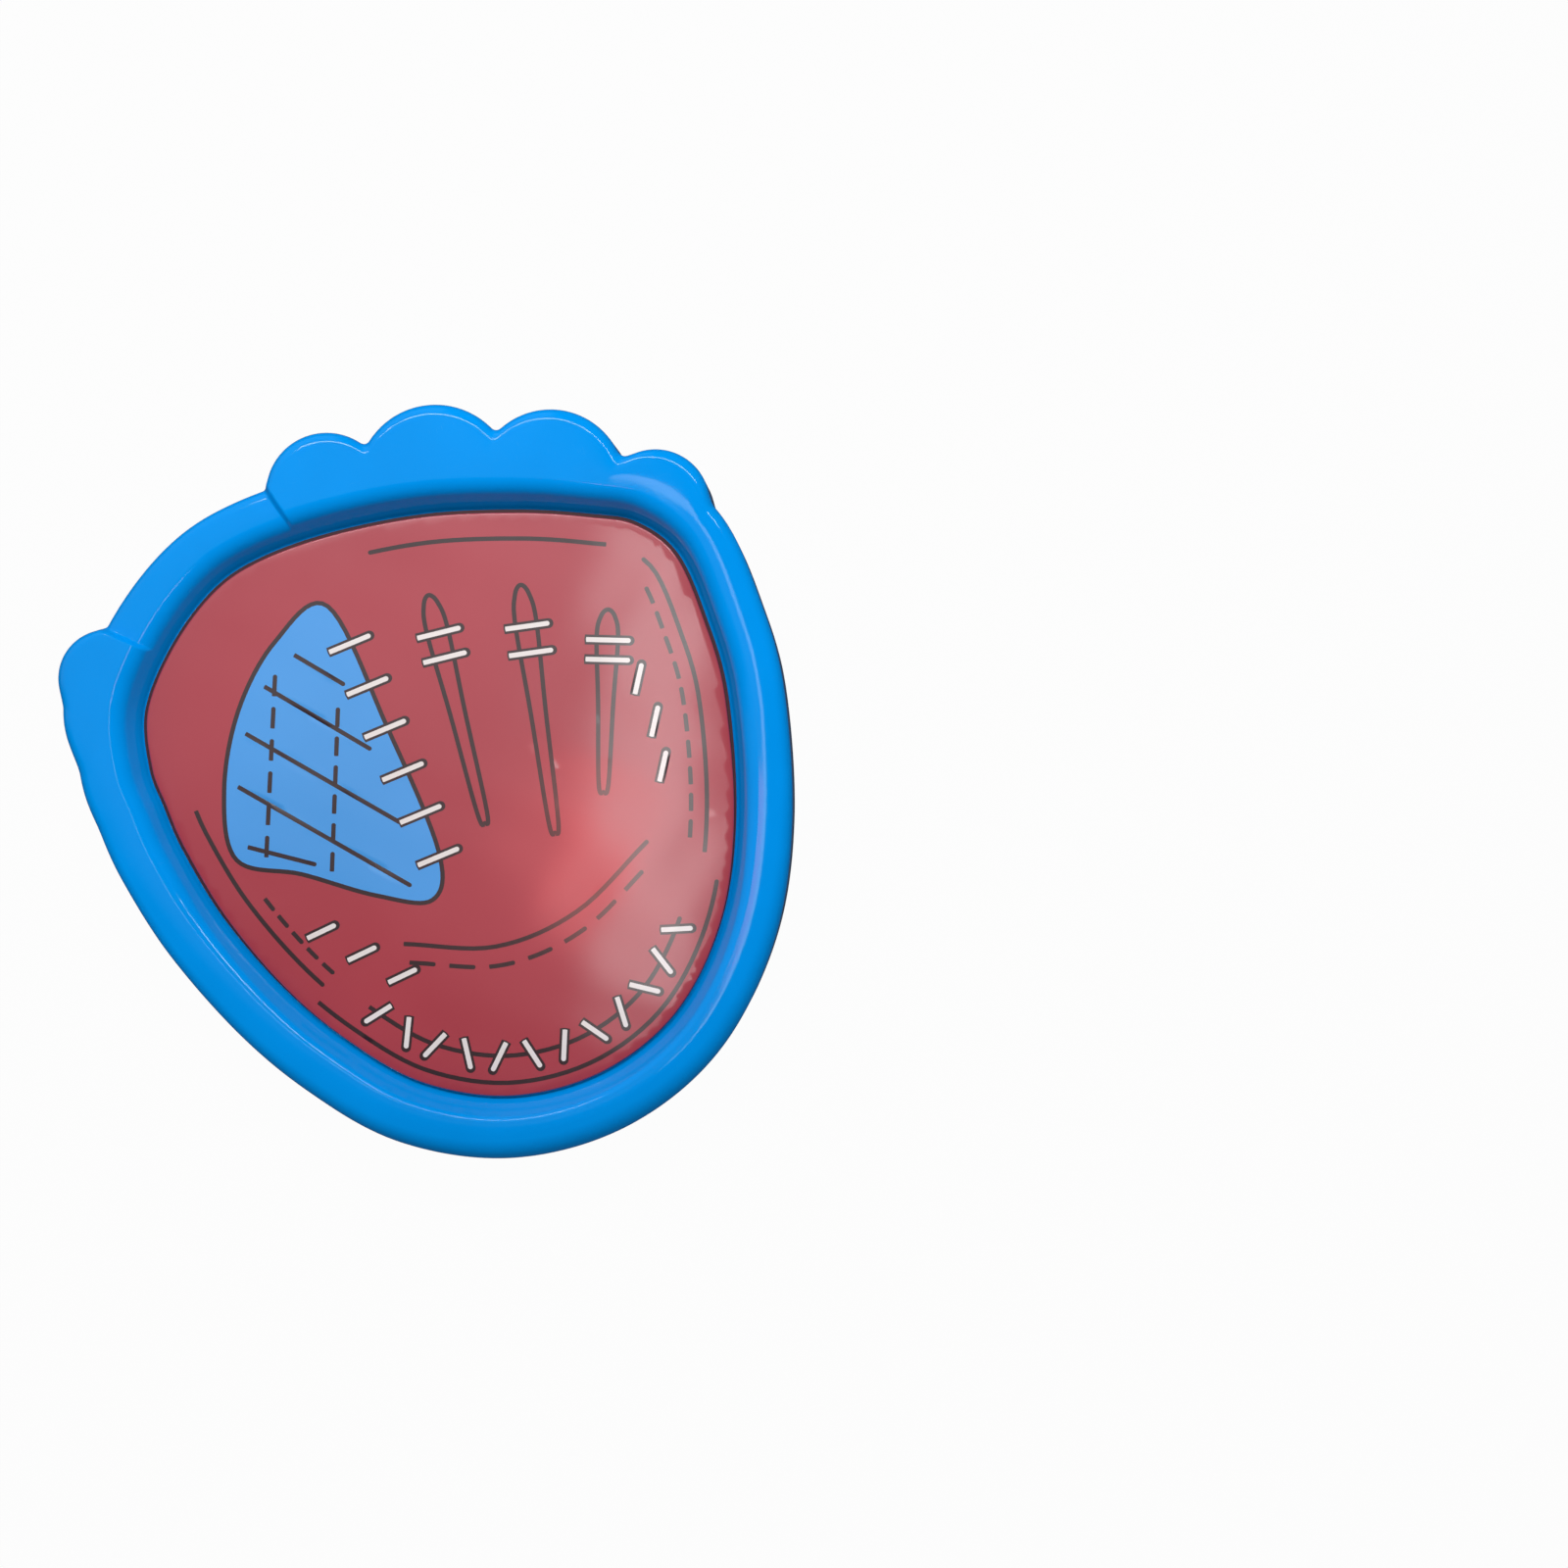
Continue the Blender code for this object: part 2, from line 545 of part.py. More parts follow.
class Print:
    """Fields of colour on the sheet. A later field covers an earlier one. Places are shares of
    the floor's half width and half length, or angles round the dish."""

    def __init__(self, mitt):
        self.mitt = mitt
        self.fields = []

    def at(self, shares):
        return np.array(shares, dtype=float) * (DISH_WIDTH / 2, DISH_LENGTH / 2)

    def line(self, points):
        self.fields.append((stroke(points, LINE_WIDTH), "maroon"))

    def lace(self, middle, heading, length):
        along = np.array([cos(heading), sin(heading)])
        for width, reach, colour in (
            (LACE_WIDTH + 2 * LACE_BORDER, length / 2, "maroon"),
            (LACE_WIDTH, length / 2 - LACE_BORDER / 2, "white"),
        ):
            self.fields.append((stroke([middle - along * reach, middle + along * reach], width), colour))

    def outlined(self, points, colour, steps):
        loop = spline(points, steps, closed=True)
        normal = side_normals(loop, closed=True)
        self.fields.append((loop + normal * LINE_WIDTH / 2, "maroon"))
        self.fields.append((loop - normal * LINE_WIDTH / 2, colour))

    def beside_edge(self, first, last, inset):
        """A line that keeps one distance inside the floor's edge."""
        places = np.linspace(first, last, ceil(abs(last - first) / EDGE_LINE_STEP) + 1)
        return np.array([self.mitt.beside_floor(place % 360, -inset) for place in places])

    def dashes(self, points, count):
        """Equal dashes along a curve, with gaps a little shorter than the dashes."""
        points = spline(points, 8, closed=False)
        run = np.concatenate([[0.0], np.cumsum(np.linalg.norm(np.diff(points, axis=0), axis=1))])
        pitch = run[-1] / count
        for i in range(count):
            ways = np.linspace(i * pitch, (i + DASH_SHARE) * pitch, 3)
            self.line(np.column_stack([np.interp(ways, run, column) for column in points.T]))

    def draw(self):
        self.draw_web()
        self.draw_fingers()
        self.draw_heel()
        self.draw_sides()
        return self.fields

    def draw_web(self):
        self.outlined(
            self.at(((-0.24, 0.76), (-0.45, 0.70), (-0.64, 0.52), (-0.77, 0.28), (-0.80, 0.05),
                     (-0.60, -0.06), (-0.38, -0.20), (-0.20, -0.27), (-0.13, -0.12), (-0.17, 0.32))),
            "web", 4)
        falling = (((-0.40, 0.64), (-0.27, 0.50)), ((-0.53, 0.57), (-0.25, 0.27)),
                   ((-0.64, 0.44), (-0.23, 0.01)), ((-0.72, 0.28), (-0.26, -0.20)),
                   ((-0.75, 0.08), (-0.55, -0.04)))
        for ends in falling:
            self.line(self.at(ends))
        rising = (((-0.70, 0.03), (-0.47, 0.63)), ((-0.50, -0.08), (-0.30, 0.46)))
        for ends in rising:
            self.dashes(self.at(ends), 6)
        seam = self.at(((-0.21, 0.62), (-0.14, -0.14)))
        heading = np.arctan2(*(seam[1] - seam[0])[::-1]) + pi / 2
        for share in np.linspace(0.0, 1.0, WEB_RUNGS):
            self.lace(seam[0] + (seam[1] - seam[0]) * share, heading, RUNG_LENGTH)

    def draw_fingers(self):
        slits = (((0.10, 0.68), (0.05, -0.08)), ((0.41, 0.62), (0.27, -0.18)), ((0.67, 0.46), (0.47, -0.10)))
        half_widths = ((0.02, 1.6), (0.14, 2.4), (0.50, 1.7), (0.95, 1.1))
        for head, foot in slits:
            head, foot = self.at((head, foot))
            way = foot - head
            across = np.array([-way[1], way[0]]) / np.linalg.norm(way)
            left = [head + way * share - across * LINE_WIDTH * wide for share, wide in half_widths]
            right = [head + way * share + across * LINE_WIDTH * wide for share, wide in half_widths]
            self.outlined([head - way * 0.02, *left, foot, *reversed(right)], "red", 3)
            for share in (0.15, 0.26):
                self.lace(head + way * share, np.arctan2(across[1], across[0]), RUNG_LENGTH)
        self.line(self.beside_edge(46, 92, PRINT_MARGIN))

    def draw_heel(self):
        seam = self.beside_edge(226, 316, HEEL_MARGIN)
        self.line(seam)
        index = np.arange(len(seam))
        normal = side_normals(seam, closed=False)
        for i, place in enumerate(np.linspace(0.5, len(seam) - 1.5, HEEL_STITCHES)):
            middle = np.array([np.interp(place, index, column) for column in seam.T])
            outward = normal[round(place)]
            slant = radians(STITCH_SLANT) * (1 if i % 2 else -1)
            self.lace(middle, np.arctan2(outward[1], outward[0]) + slant, STITCH_LENGTH)
        self.line(self.beside_edge(216, 326, PRINT_MARGIN / 2))
        palm = ((-0.34, -0.38), (-0.04, -0.48), (0.26, -0.45), (0.56, -0.30))
        self.line(spline(self.at(palm), 4, closed=False))
        self.dashes(self.at([(u, v - 0.065) for u, v in palm]), 7)

    def draw_sides(self):
        self.line(self.beside_edge(-28, 36, PRINT_MARGIN))
        self.dashes(self.beside_edge(-25, 32, 1.5 * PRINT_MARGIN), 10)
        self.line(self.beside_edge(166, 214, PRINT_MARGIN))
        self.dashes(self.beside_edge(190, 216, 1.5 * PRINT_MARGIN), 5)
        for share in ((0.70, 0.22), (0.71, 0.07), (0.69, -0.08)):
            self.lace(self.at(share), radians(60), STITCH_LENGTH)
        for share in ((-0.60, -0.26), (-0.49, -0.37), (-0.38, -0.48)):
            self.lace(self.at(share), radians(8), STITCH_LENGTH)


def face_sheet(mitt):
    """The printed sheet: one closed solid whose flat top is divided into fields of colour."""
    edge = mitt.floor[::SPAN_STEPS // SHEET_STEPS]
    normal = mitt.floor_normal[::SPAN_STEPS // SHEET_STEPS]
    low = FLOOR_TOP + CLEARANCE
    high = low + SHEET
    rows = [
        ring(edge, normal, -SHEET_EDGE_GAP, low),
        ring(edge, normal, -SHEET_EDGE_GAP, high - SHEET_ROUND),
        ring(edge, normal, -SHEET_EDGE_GAP - SHEET_ROUND, high),
    ]
    mesh = bmesh.new()
    loops = [[mesh.verts.new(point) for point in row] for row in rows]
    mesh.faces.new(loops[0])
    for lower, upper in zip(loops, loops[1:]):
        for i, vertex in enumerate(lower):
            after = (i + 1) % len(lower)
            mesh.faces.new((vertex, lower[after], upper[after], upper[i]))

    surfaces = {"red": RED, "web": WEB_BLUE, "maroon": MAROON, "white": LACE_WHITE}
    slots = list(surfaces)
    outlines = [(rows[2][:, :2], "red")] + Print(mitt).draw()
    points = [Vector(point * 1000) for outline, _ in outlines for point in outline]
    loops_of_points = []
    count = 0
    for outline, _ in outlines:
        loops_of_points.append(list(range(count, count + len(outline))))
        count += len(outline)
    flat, _, triangles, from_point, _, from_loop = delaunay_2d_cdt(points, [], loops_of_points, 1, 1e-5)
    corners = []
    for position, sources in zip(flat, from_point):
        rim = [source for source in sources if source < len(edge)]
        if rim:
            corners.append(loops[2][rim[0]])
        else:
            corners.append(mesh.verts.new((position.x / 1000, position.y / 1000, high)))
    for triangle, sources in zip(triangles, from_loop):
        face = mesh.faces.new([corners[i] for i in triangle])
        face.material_index = slots.index(outlines[max(sources)][1])
    bmesh.ops.recalc_face_normals(mesh, faces=mesh.faces)
    sheet = object_from(mesh, "face_sheet")
    for name, colour in surfaces.items():
        sheet.data.materials.append(material("print_" + name, colour, 0.14))
    return sheet


def main():
    for leftover in list(bpy.data.objects):
        bpy.data.objects.remove(leftover, do_unlink=True)
    parts = bpy.data.collections.new("catching_paddle")
    cutters = bpy.data.collections.new("cutters")
    for collection in (parts, cutters):
        bpy.context.scene.collection.children.link(collection)

    mitt = Mitt()
    middle = mitt.middle_of_box()
    frame = bpy.data.objects.new("paddle_frame", None)
    frame.location = (-middle[0], -middle[1], 0.0)
    parts.objects.link(frame)
    for piece in (shell(mitt, cutters), face_sheet(mitt), *strap_pieces()):
        parts.objects.link(piece)
        piece.parent = frame
    for cutter in cutters.objects:
        cutter.parent = frame


main()
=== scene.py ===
# Hand paddle for a catching game, dressed for its portrait: a glossy blue mitt moulding,
# a printed film on the floor of its dish and a webbing hand strap behind.

from math import atan2, ceil, cos, pi, radians, sin, tan

import bpy
import numpy as np
from mathutils import Matrix, Vector
from mathutils.geometry import delaunay_2d_cdt


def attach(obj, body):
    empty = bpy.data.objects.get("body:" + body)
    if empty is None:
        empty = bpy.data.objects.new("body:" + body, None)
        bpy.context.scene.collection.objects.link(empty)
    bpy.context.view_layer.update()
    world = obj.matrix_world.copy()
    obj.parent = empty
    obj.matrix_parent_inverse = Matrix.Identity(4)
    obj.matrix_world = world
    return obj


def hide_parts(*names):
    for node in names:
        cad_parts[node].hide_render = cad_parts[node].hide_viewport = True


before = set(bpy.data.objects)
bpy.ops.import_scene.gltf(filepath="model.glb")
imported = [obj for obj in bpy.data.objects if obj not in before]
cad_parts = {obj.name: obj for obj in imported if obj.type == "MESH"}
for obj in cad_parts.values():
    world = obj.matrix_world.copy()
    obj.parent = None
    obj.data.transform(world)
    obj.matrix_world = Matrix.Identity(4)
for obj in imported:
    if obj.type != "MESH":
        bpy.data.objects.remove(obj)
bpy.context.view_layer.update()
scene = bpy.context.scene
scene.view_settings.view_transform = "Standard"
print("frame loaded")


def deselectAll():
    if bpy.context.mode != "OBJECT":
        bpy.ops.object.mode_set(mode="OBJECT")
    bpy.ops.object.select_all(action="DESELECT")


def activate(piece):
    deselectAll()
    bpy.context.view_layer.objects.active = piece
    piece.select_set(True)


def editing(piece, kind="VERT"):
    # opens the mesh with all of it chosen
    activate(piece)
    bpy.ops.object.mode_set(mode="EDIT")
    bpy.ops.mesh.select_mode(type=kind)
    bpy.ops.mesh.select_all(action="SELECT")


def extrude(move):
    bpy.ops.mesh.extrude_region_move(TRANSFORM_OT_translate={"value": move})


def stopEditing():
    bpy.ops.object.mode_set(mode="OBJECT")


def pickVertices(piece, chosen):
    # leaves and enters edit mode, so that the flags set here are what the operators see
    stopEditing()
    data = piece.data
    for parts in (data.polygons, data.edges):
        parts.foreach_set("select", np.zeros(len(parts), dtype=bool))
    data.vertices.foreach_set("select", np.asarray(chosen, dtype=bool))
    bpy.ops.object.mode_set(mode="EDIT")


def places(piece):
    found = np.empty(len(piece.data.vertices) * 3)
    piece.data.vertices.foreach_get("co", found)
    return found.reshape(-1, 3)


def moveTo(piece, points):
    piece.data.vertices.foreach_set("co", np.asarray(points, dtype=float).ravel())
    piece.data.update()


def facesOut(piece):
    editing(piece)
    bpy.ops.mesh.normals_make_consistent(inside=False)
    stopEditing()


def settle(piece):
    # the object ends at the origin, unturned and unscaled, with its place in its mesh
    activate(piece)
    bpy.ops.object.transform_apply(location=True, rotation=True, scale=True)


def begin(primitive, **settings):
    deselectAll()
    getattr(bpy.ops.mesh, f"primitive_{primitive}_add")(**settings)
    piece = bpy.context.active_object
    settle(piece)
    return piece


def newObject(name, data):
    piece = bpy.data.objects.new(name, data)
    scene.collection.objects.link(piece)
    return piece


def applyBoolean(piece, other, operation):
    step = piece.modifiers.new("work", "BOOLEAN")
    step.operation = operation
    step.solver = "EXACT"
    step.object = other
    activate(piece)
    bpy.ops.object.modifier_apply(modifier=step.name)
    bpy.data.objects.remove(other, do_unlink=True)


def joined(pieces, name):
    deselectAll()
    for piece in pieces:
        piece.select_set(True)
    bpy.context.view_layer.objects.active = pieces[0]
    bpy.ops.object.join()
    pieces[0].name = name
    return pieces[0]


def skin(name, rows):
    # a ring is extruded once for each row, then every vertex goes to its place on that row
    rows = np.array(rows)
    count = rows.shape[1]
    piece = begin("circle", vertices=count, radius=1.0, fill_type="NOTHING")
    piece.name = name
    editing(piece)
    for _ in rows[1:]:
        extrude((0, 0, 1))
    stopEditing()
    tube = places(piece)
    row = np.rint(tube[:, 2]).astype(int)
    column = np.rint(np.arctan2(tube[:, 1], tube[:, 0]) / (2 * pi / count)).astype(int) % count
    moveTo(piece, rows[row, column])
    editing(piece)
    for end in (0, len(rows) - 1):
        pickVertices(piece, row == end)
        bpy.ops.mesh.edge_face_add()
    facesOut(piece)
    return piece, row


def unit(vectors):
    return vectors / np.linalg.norm(vectors, axis=1)[:, None]


def runAlong(points):
    steps = np.linalg.norm(np.diff(points, axis=0), axis=1)
    return np.concatenate([[0.0], np.cumsum(steps)])


def roundedCorner(before, corner, after, radius, steps):
    # rows of a true arc that replaces a corner row, found station by station
    toBefore, toAfter = unit(before - corner), unit(after - corner)
    half = np.arccos(np.clip((toBefore * toAfter).sum(axis=1), -1, 1))[:, None] / 2
    start = corner + toBefore * radius / np.tan(half)
    end = corner + toAfter * radius / np.tan(half)
    rows = []
    for share in np.linspace(0.0, 1.0, steps + 1):
        pull = 2 * share * (1 - share) * np.sin(half)
        total = (1 - share) ** 2 + pull + share**2
        rows.append(((1 - share) ** 2 * start + pull * corner + share**2 * end) / total)
    return rows


# sizes of the moulding, as the solid model has them, but for the heel's rounding and the crown
mitt = {
    "dishWidth": 0.1564, "dishLength": 0.1623, "dishDepth": 0.0095,
    "wallLeanEnds": 23.0, "wallLeanSides": 17.0,
    "height": 0.0240, "wall": 0.0020, "crestRadius": 0.0050, "edgeRadius": 0.0035,
    "heelEdgeExtra": 0.0030, "heelCrestExtra": -0.0032, "heelCrestPower": 0.7,
    "floorRadius": 0.0006, "footRadius": 0.0005, "underRadius": 0.0015,
    "rimSide": 0.0152, "rimHeelExtra": 0.0012, "heelSideAngle": 245.0, "heelSidePower": 3,
    "rimThumbExtra": 0.0014, "thumbSideAngle": 157.0, "thumbSidePower": 6,
    "skirtFlare": 0.0007, "notchBlend": 0.0020, "floorInset": 0.0060,
    "flangeCrown": 0.00012, "crownShares": (0.12, 0.3, 0.5, 0.7, 0.88),
    "webDrop": 0.0018, "webStep": 0.0016, "webStepUnder": 0.0060,
    "outlineSteps": 5760, "stationRun": 0.0014, "stationTurn": 5.0, "stationRise": 0.00012,
}
# place round the dish in degrees, then how far the tip's centre is out and its radius
fingerTips = {
    "little": (39.3, 0.0054, 0.0152),
    "ring": (56.0, 0.0057, 0.0205),
    "middle": (76.9, 0.0064, 0.0215),
    "index": (96.7, 0.0087, 0.0168),
    "thumb": (142.7, 0.0094, 0.0137),
}
# a flatter arc that leads from the thumb's tip down into the side
thumbRoot = (145.8, -0.0061, 0.0260)
# edge of the dish floor as shares of its half width and half length
dishEdge = (
    (0.987, 0.083), (0.996, 0.349), (0.968, 0.583), (0.865, 0.725), (0.720, 0.798),
    (0.488, 0.884), (0.176, 0.964), (-0.146, 0.999), (-0.415, 0.990), (-0.606, 0.935),
    (-0.801, 0.799), (-0.954, 0.620), (-1.002, 0.430), (-0.995, 0.293), (-0.977, 0.132),
    (-0.912, -0.123), (-0.787, -0.403), (-0.633, -0.632), (-0.427, -0.843), (-0.142, -0.976),
    (0.181, -0.989), (0.483, -0.875), (0.728, -0.631), (0.887, -0.311),
)
floorTop = mitt["height"] - mitt["dishDepth"]
floorUnder = floorTop - mitt["wall"]


def smoothCurve(points, steps, closed):
    points = np.array(points, dtype=float)
    if closed:
        padded = np.vstack([points[-1:], points, points[:2]])
    else:
        padded = np.vstack([2 * points[0] - points[1], points, 2 * points[-1] - points[-2]])
    share = (np.arange(steps) / steps)[:, None]
    curve = []
    for a, b, c, d in zip(padded, padded[1:], padded[2:], padded[3:]):
        square = 2 * a - 5 * b + 4 * c - d
        cube = -a + 3 * b - 3 * c + d
        curve.append(0.5 * (2 * b + (c - a) * share + square * share**2 + cube * share**3))
    if not closed:
        curve.append(points[-1:])
    return np.vstack(curve)


def sideNormals(points, closed):
    if closed:
        along = np.roll(points, -1, axis=0) - np.roll(points, 1, axis=0)
    else:
        along = np.gradient(points, axis=0)
    return unit(np.stack([along[:, 1], -along[:, 0]], axis=1))


def angleOf(points):
    return np.arctan2(points[:, 1], points[:, 0]) % (2 * pi)


def readRound(angle, knownAngle, values):
    order = np.argsort(knownAngle)
    columns = [np.interp(angle, knownAngle[order], column[order], period=2 * pi) for column in values.T]
    return np.array(columns).T


def softStep(share):
    share = np.clip(share, 0.0, 1.0)
    return share * share * (3.0 - 2.0 * share)


def softMax(a, b, blend):
    near = np.maximum(blend - np.abs(a - b), 0.0) / blend
    return np.maximum(a, b) + near * near * blend / 4


def wallLean(angle):
    # the dish's wall is steeper at the sides than at the fingers and the heel
    sides, ends = mitt["wallLeanSides"], mitt["wallLeanEnds"]
    return np.radians(sides + (ends - sides) * np.sin(angle) ** 2)


def arcReach(angle, centre, radius):
    ahead = centre[0] * np.cos(angle) + centre[1] * np.sin(angle)
    aside = centre[0] * np.sin(angle) - centre[1] * np.cos(angle)
    room = radius**2 - aside**2
    return np.where((room > 0) & (ahead > 0), ahead + np.sqrt(np.maximum(room, 0)), 0.0)


class MittOutline:
    # all outlines here have the middle of the dish floor at zero; middle is the box's middle

    def __init__(self):
        half = np.array([mitt["dishWidth"] / 2, mitt["dishLength"] / 2])
        self.floor = smoothCurve(np.array(dishEdge) * half, 24, closed=True)
        self.floorNormal = sideNormals(self.floor, closed=True)
        self.floorAngle = angleOf(self.floor)
        self.angle = np.arange(mitt["outlineSteps"]) * 2 * pi / mitt["outlineSteps"]
        heelSide = self.nearAngle("heelSide") * mitt["rimHeelExtra"]
        thumbSide = self.nearAngle("thumbSide") * mitt["rimThumbExtra"]
        rim = mitt["rimSide"] + heelSide + thumbSide
        body = self.floor + self.floorNormal * rim[:, None]
        reach = readRound(self.angle, angleOf(body), np.linalg.norm(body, axis=1)[:, None])[:, 0]
        tips = np.zeros_like(reach)
        for place, outset, radius in fingerTips.values():
            tips = np.maximum(tips, arcReach(self.angle, self.besideFloor(place, outset), radius))
        first, last = radians(fingerTips["index"][0]), radians(fingerTips["thumb"][0])
        web = (self.angle > first) & (self.angle < last) & (reach > tips)
        self.webStart = self.angle[web].min()
        self.webEnd = self.angle[web].max()
        for place, outset, radius in (*fingerTips.values(), thumbRoot):
            tip = arcReach(self.angle, self.besideFloor(place, outset), radius)
            reach = softMax(reach, tip, mitt["notchBlend"])
        self.reach = reach
        self.outer = np.stack([reach * np.cos(self.angle), reach * np.sin(self.angle)], axis=1)
        self.outerNormal = sideNormals(self.outer, closed=True)
        self.middle = (self.outer.min(axis=0) + self.outer.max(axis=0)) / 2

    def nearAngle(self, side):
        # one on that side of the dish, fading to zero
        near = np.cos(self.floorAngle - radians(mitt[side + "Angle"]))
        return np.clip(near, 0, 1) ** mitt[side + "Power"]

    def floorAt(self, place):
        angle = np.array([radians(place)])
        edge = readRound(angle, self.floorAngle, self.floor)[0]
        normal = readRound(angle, self.floorAngle, self.floorNormal)[0]
        return edge, normal / np.linalg.norm(normal)

    def besideFloor(self, place, outset):
        edge, normal = self.floorAt(place)
        return edge + normal * outset

    def webDropAt(self, angle, reach, step):
        into = softStep(0.5 + (angle - self.webStart) * reach / step)
        out = softStep(0.5 + (self.webEnd - angle) * reach / step)
        return mitt["webDrop"] * into * out

    def stations(self):
        run = np.linalg.norm(np.roll(self.outer, -1, axis=0) - self.outer, axis=1)
        heading = np.arctan2(self.outerNormal[:, 1], self.outerNormal[:, 0])
        turn = np.abs(np.angle(np.exp(1j * (np.roll(heading, -1) - heading))))
        height = self.webDropAt(self.angle, self.reach, mitt["webStep"])
        rise = np.abs(np.roll(height, -1) - height)
        cost = run / mitt["stationRun"] + turn / radians(mitt["stationTurn"]) + rise / mitt["stationRise"]
        total = np.concatenate([[0.0], np.cumsum(cost)])
        count = ceil(total[-1])
        return np.interp(np.arange(count) * total[-1] / count, total, np.append(self.angle, 2 * pi))


outline = MittOutline()


def shellRows():
    # from the dish floor over its wall, the flange and the skirt, and back underneath
    angle = outline.stations()
    reach = readRound(angle, outline.angle, outline.reach[:, None])[:, 0]
    outer = readRound(angle, outline.angle, outline.outer)
    outerNormal = readRound(angle, outline.angle, outline.outerNormal)
    floor = readRound(angle, outline.floorAngle, outline.floor)
    floorNormal = readRound(angle, outline.floorAngle, outline.floorNormal)
    top = mitt["height"] - outline.webDropAt(angle, reach, mitt["webStep"])
    topUnder = mitt["height"] - outline.webDropAt(angle, reach, mitt["webStepUnder"])

    def fromEdge(inset, height):
        inset = np.broadcast_to(inset, len(angle))[:, None]
        return np.column_stack([outer - outerNormal * inset, np.broadcast_to(height, len(angle))])

    def fromFloor(outset, height):
        outset = np.broadcast_to(outset, len(angle))[:, None]
        return np.column_stack([floor + floorNormal * outset, np.broadcast_to(height, len(angle))])

    wall, flare = mitt["wall"], mitt["skirtFlare"]
    slope = np.tan(wallLean(angle))
    wallRun = wall / np.cos(wallLean(angle))
    heel = np.clip(-np.sin(angle), 0, 1)[:, None]
    edge = mitt["edgeRadius"] + mitt["heelEdgeExtra"] * heel**2
    crest = mitt["crestRadius"] + mitt["heelCrestExtra"] * heel ** mitt["heelCrestPower"]
    bendRadius = mitt["edgeRadius"] - wall
    corners = [
        (fromFloor(-mitt["floorInset"], floorTop), 0, 0),
        (fromFloor(0.0, floorTop), mitt["floorRadius"], 4),
        (fromFloor((top - floorTop) * slope, top), crest, 14),
        (fromEdge(flare * top / (top - edge[:, 0]), top), edge, 12),
        (fromEdge(0.0, 0.0), mitt["footRadius"], 4),
        (fromEdge(wall, 0.0), mitt["footRadius"], 4),
        (fromEdge(wall + flare, topUnder - wall), edge - wall, 5),
        (fromFloor(wallRun + (topUnder - wall - floorTop) * slope, topUnder - wall), bendRadius, 5),
        (fromFloor(wallRun - wall * slope, floorUnder), mitt["underRadius"], 5),
        (fromFloor(-mitt["floorInset"], floorUnder), 0, 0),
    ]
    flangeEnd = 3
    rows = [corners[0][0]]
    for number in range(1, len(corners) - 1):
        corner, radius, steps = corners[number]
        bend = roundedCorner(corners[number - 1][0], corner, corners[number + 1][0], radius, steps)
        if number == flangeEnd:
            # the flange is very slightly crowned
            start = rows[-1]
            for share in mitt["crownShares"]:
                row = start * (1 - share) + bend[0] * share
                row[:, 2] += mitt["flangeCrown"] * 4 * share * (1 - share)
                rows.append(row)
        rows += bend
    rows.append(corners[-1][0])
    return np.array(rows)


def plate(corners, thickness, bevel):
    # a flat face with these corners, extruded to a thickness, its edges eased
    piece = begin("circle", vertices=len(corners), fill_type="NGON")
    moveTo(piece, corners)
    editing(piece)
    extrude(thickness)
    bpy.ops.mesh.select_all(action="SELECT")
    bpy.ops.mesh.bevel(offset=bevel, segments=2, affect="EDGES")
    facesOut(piece)
    return piece


back = {
    "gusset": 0.0016, "gussetFoot": 0.0050, "gussetsRoundHeel": 9, "gussetBevel": 0.00025,
    "postThick": 0.0030, "postWidth": 0.0080, "postBelowBar": 0.0010,
    "barRadius": 0.0020, "barDrop": 0.0080, "barSideGap": 0.0006,
    "strapSpan": 0.1080, "strapCentreY": -0.0050, "strapWidth": 0.0300,
    # places of the ejector marks on the floor's underside, from the middle of the dish
    "ejectorMarks": ((-0.046, 0.048), (0.048, 0.046), (-0.036, -0.046), (0.034, -0.050), (0.0, 0.062)),
    "ejectorRadius": 0.0030, "ejectorDepth": 0.00015,
    "gateAt": (0.0, 0.018), "gateRadius": 0.0016, "gateHeight": 0.0007, "gateSunk": 0.0001,
    "gateTaper": 0.7,
}
barHeight = floorUnder - back["barDrop"]
barLength = back["strapWidth"] + 2 * back["barSideGap"] + back["postThick"]
halfSpan = back["strapSpan"] / 2


def gussetPlates():
    first = fingerTips["thumb"][0]
    last = fingerTips["little"][0] + 360
    spacing = (last - first) / (back["gussetsRoundHeel"] + 1)
    around = [tip[0] for tip in fingerTips.values()]
    around.append(np.degrees((outline.webStart + outline.webEnd) / 2))
    around += [(first + spacing * (i + 1)) % 360 for i in range(back["gussetsRoundHeel"])]
    wall, flare = mitt["wall"], mitt["skirtFlare"]
    made = []
    for place in around:
        root, outward = outline.floorAt(place)
        aside = np.array([-outward[1], outward[0]])
        offset = outline.outer - root
        nearest = np.argmin(np.where(offset @ outward > 0, np.abs(offset @ aside), np.inf))
        reach = offset[nearest] @ outward
        drop = outline.webDropAt(outline.angle[nearest], outline.reach[nearest], mitt["webStep"])
        top = mitt["height"] - drop
        lean = wallLean(radians(place))
        midTop = top - wall / 2
        midWall = wall / 2 / cos(lean)
        midSkirt = reach - wall / 2
        profile = (
            (midWall, floorTop - wall / 2),
            (midWall + (midTop - floorTop) * tan(lean), midTop),
            (reach - flare - mitt["edgeRadius"], midTop),
            (midSkirt - flare, top - mitt["edgeRadius"]),
            (midSkirt - flare * back["gussetFoot"] / mitt["height"], back["gussetFoot"]),
        )
        side = aside * back["gusset"] / 2
        corners = [(*(root + outward * distance - side), height) for distance, height in profile]
        made.append(plate(corners, (*(2 * side), 0.0), back["gussetBevel"]))
    return joined(made, "gussets")


